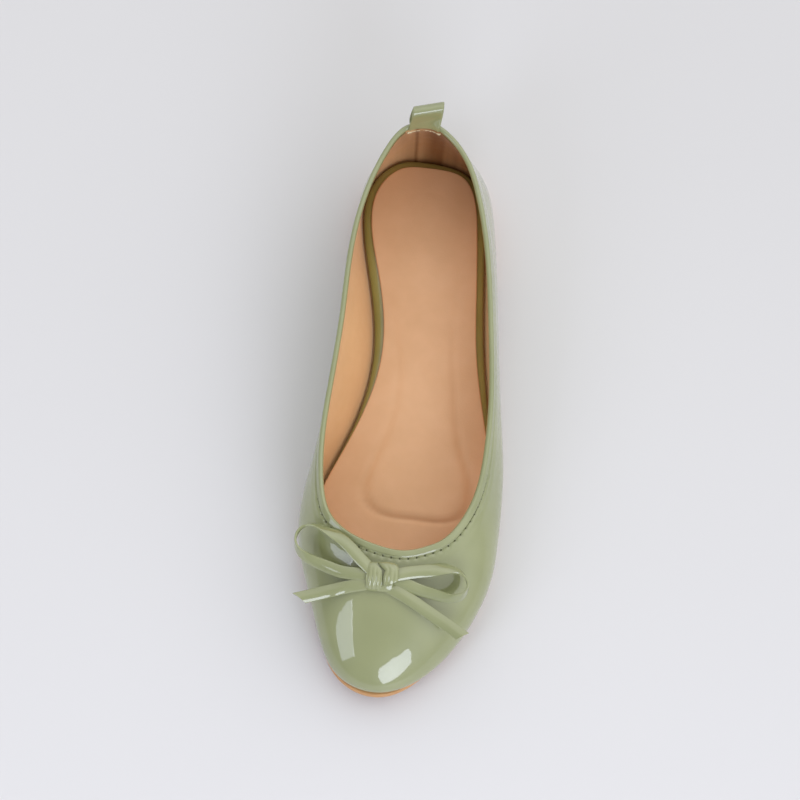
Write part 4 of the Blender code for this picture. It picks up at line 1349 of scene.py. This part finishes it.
def make_world():
    """Soft studio all round: an even dome with broad, softly edged brighter parts."""
    world = bpy.data.worlds.new("studio")
    world.use_nodes = True
    tree = world.node_tree
    sky = tree.nodes["Background"]
    sky.inputs["Color"].default_value = (1.0, 1.0, 1.0, 1)
    place = add_node(tree, "ShaderNodeTexCoord").outputs["Generated"]
    total = EVEN_SKY
    for turn, height, narrowness, strength in SKY_GLOWS:
        links = {0: place, 1: direction(turn, height)}
        towards = add_node(tree, "ShaderNodeVectorMath", links, operation="DOT_PRODUCT")
        facing = maths(tree, "MAXIMUM", towards.outputs["Value"], 0.0)
        glow = maths(tree, "MULTIPLY", maths(tree, "POWER", facing, narrowness), strength)
        total = maths(tree, "ADD", glow, total)
    tree.links.new(total, sky.inputs["Strength"])
    bpy.context.scene.world = world


FLOOR_DARK, FLOOR_LIGHT = (0.712, 0.704, 0.708, 1), (0.728, 0.720, 0.724, 1)
FLOOR_REACH = 3.0

# Brightness of the studio's dome, and its brighter parts: degrees round from the toe end, degrees above
# the floor, how narrow, and how bright
EVEN_SKY = 0.365
SKY_GLOWS = ((98.0, 45.0, 3.0, 0.60), (180.0, 45.0, 3.0, 1.00), (56.0, 30.0, 14.0, 0.50))

# Fill light: degrees round from the toe end and above the floor
FILL_PLACE = (20.0, 60.0)
FILL_DISTANCE = 1.6
FILL_SIZE = (1.6, 1.2)
FILL_POWER = 0.5

# Windows: where on the toe each is reflected, and the corners of its outline from there, in degrees round
# from the toe end and above the floor
WINDOW_DISTANCE = 1.2
WINDOW_COLOUR = (0.78, 0.82, 0.96, 1)
STRIP_AIM = (-0.016, -0.189, 0.024)
STRIP_OUTLINE = (
    (-66, 38), (-60, 56), (-50, 54), (-41, 48), (-33, 40), (-38, 32), (-46, 14), (-52, 20), (-58, 24),
    (-65, 30),
)
EDGE_OUTLINE = ((-60, 54), (-59, 57), (-50, 54), (-41, 48), (-32, 40), (-34, 38), (-42, 46), (-51, 52))
QUAD_AIM = (0.006, -0.200, 0.021)
QUAD_OUTLINE = ((4, 38), (20, 43), (37, 40), (40, 35), (41, 22), (29, 14), (11, 4), (4, 25))

make_camera()
make_floor()
make_world()
bpy.context.scene.view_settings.view_transform = "Standard"
window("window_strip", STRIP_OUTLINE, STRIP_AIM, 2.9)
window("window_edge", EDGE_OUTLINE, STRIP_AIM, 4.8)
window("window_quad", QUAD_OUTLINE, QUAD_AIM, 5.6)
fill_light()
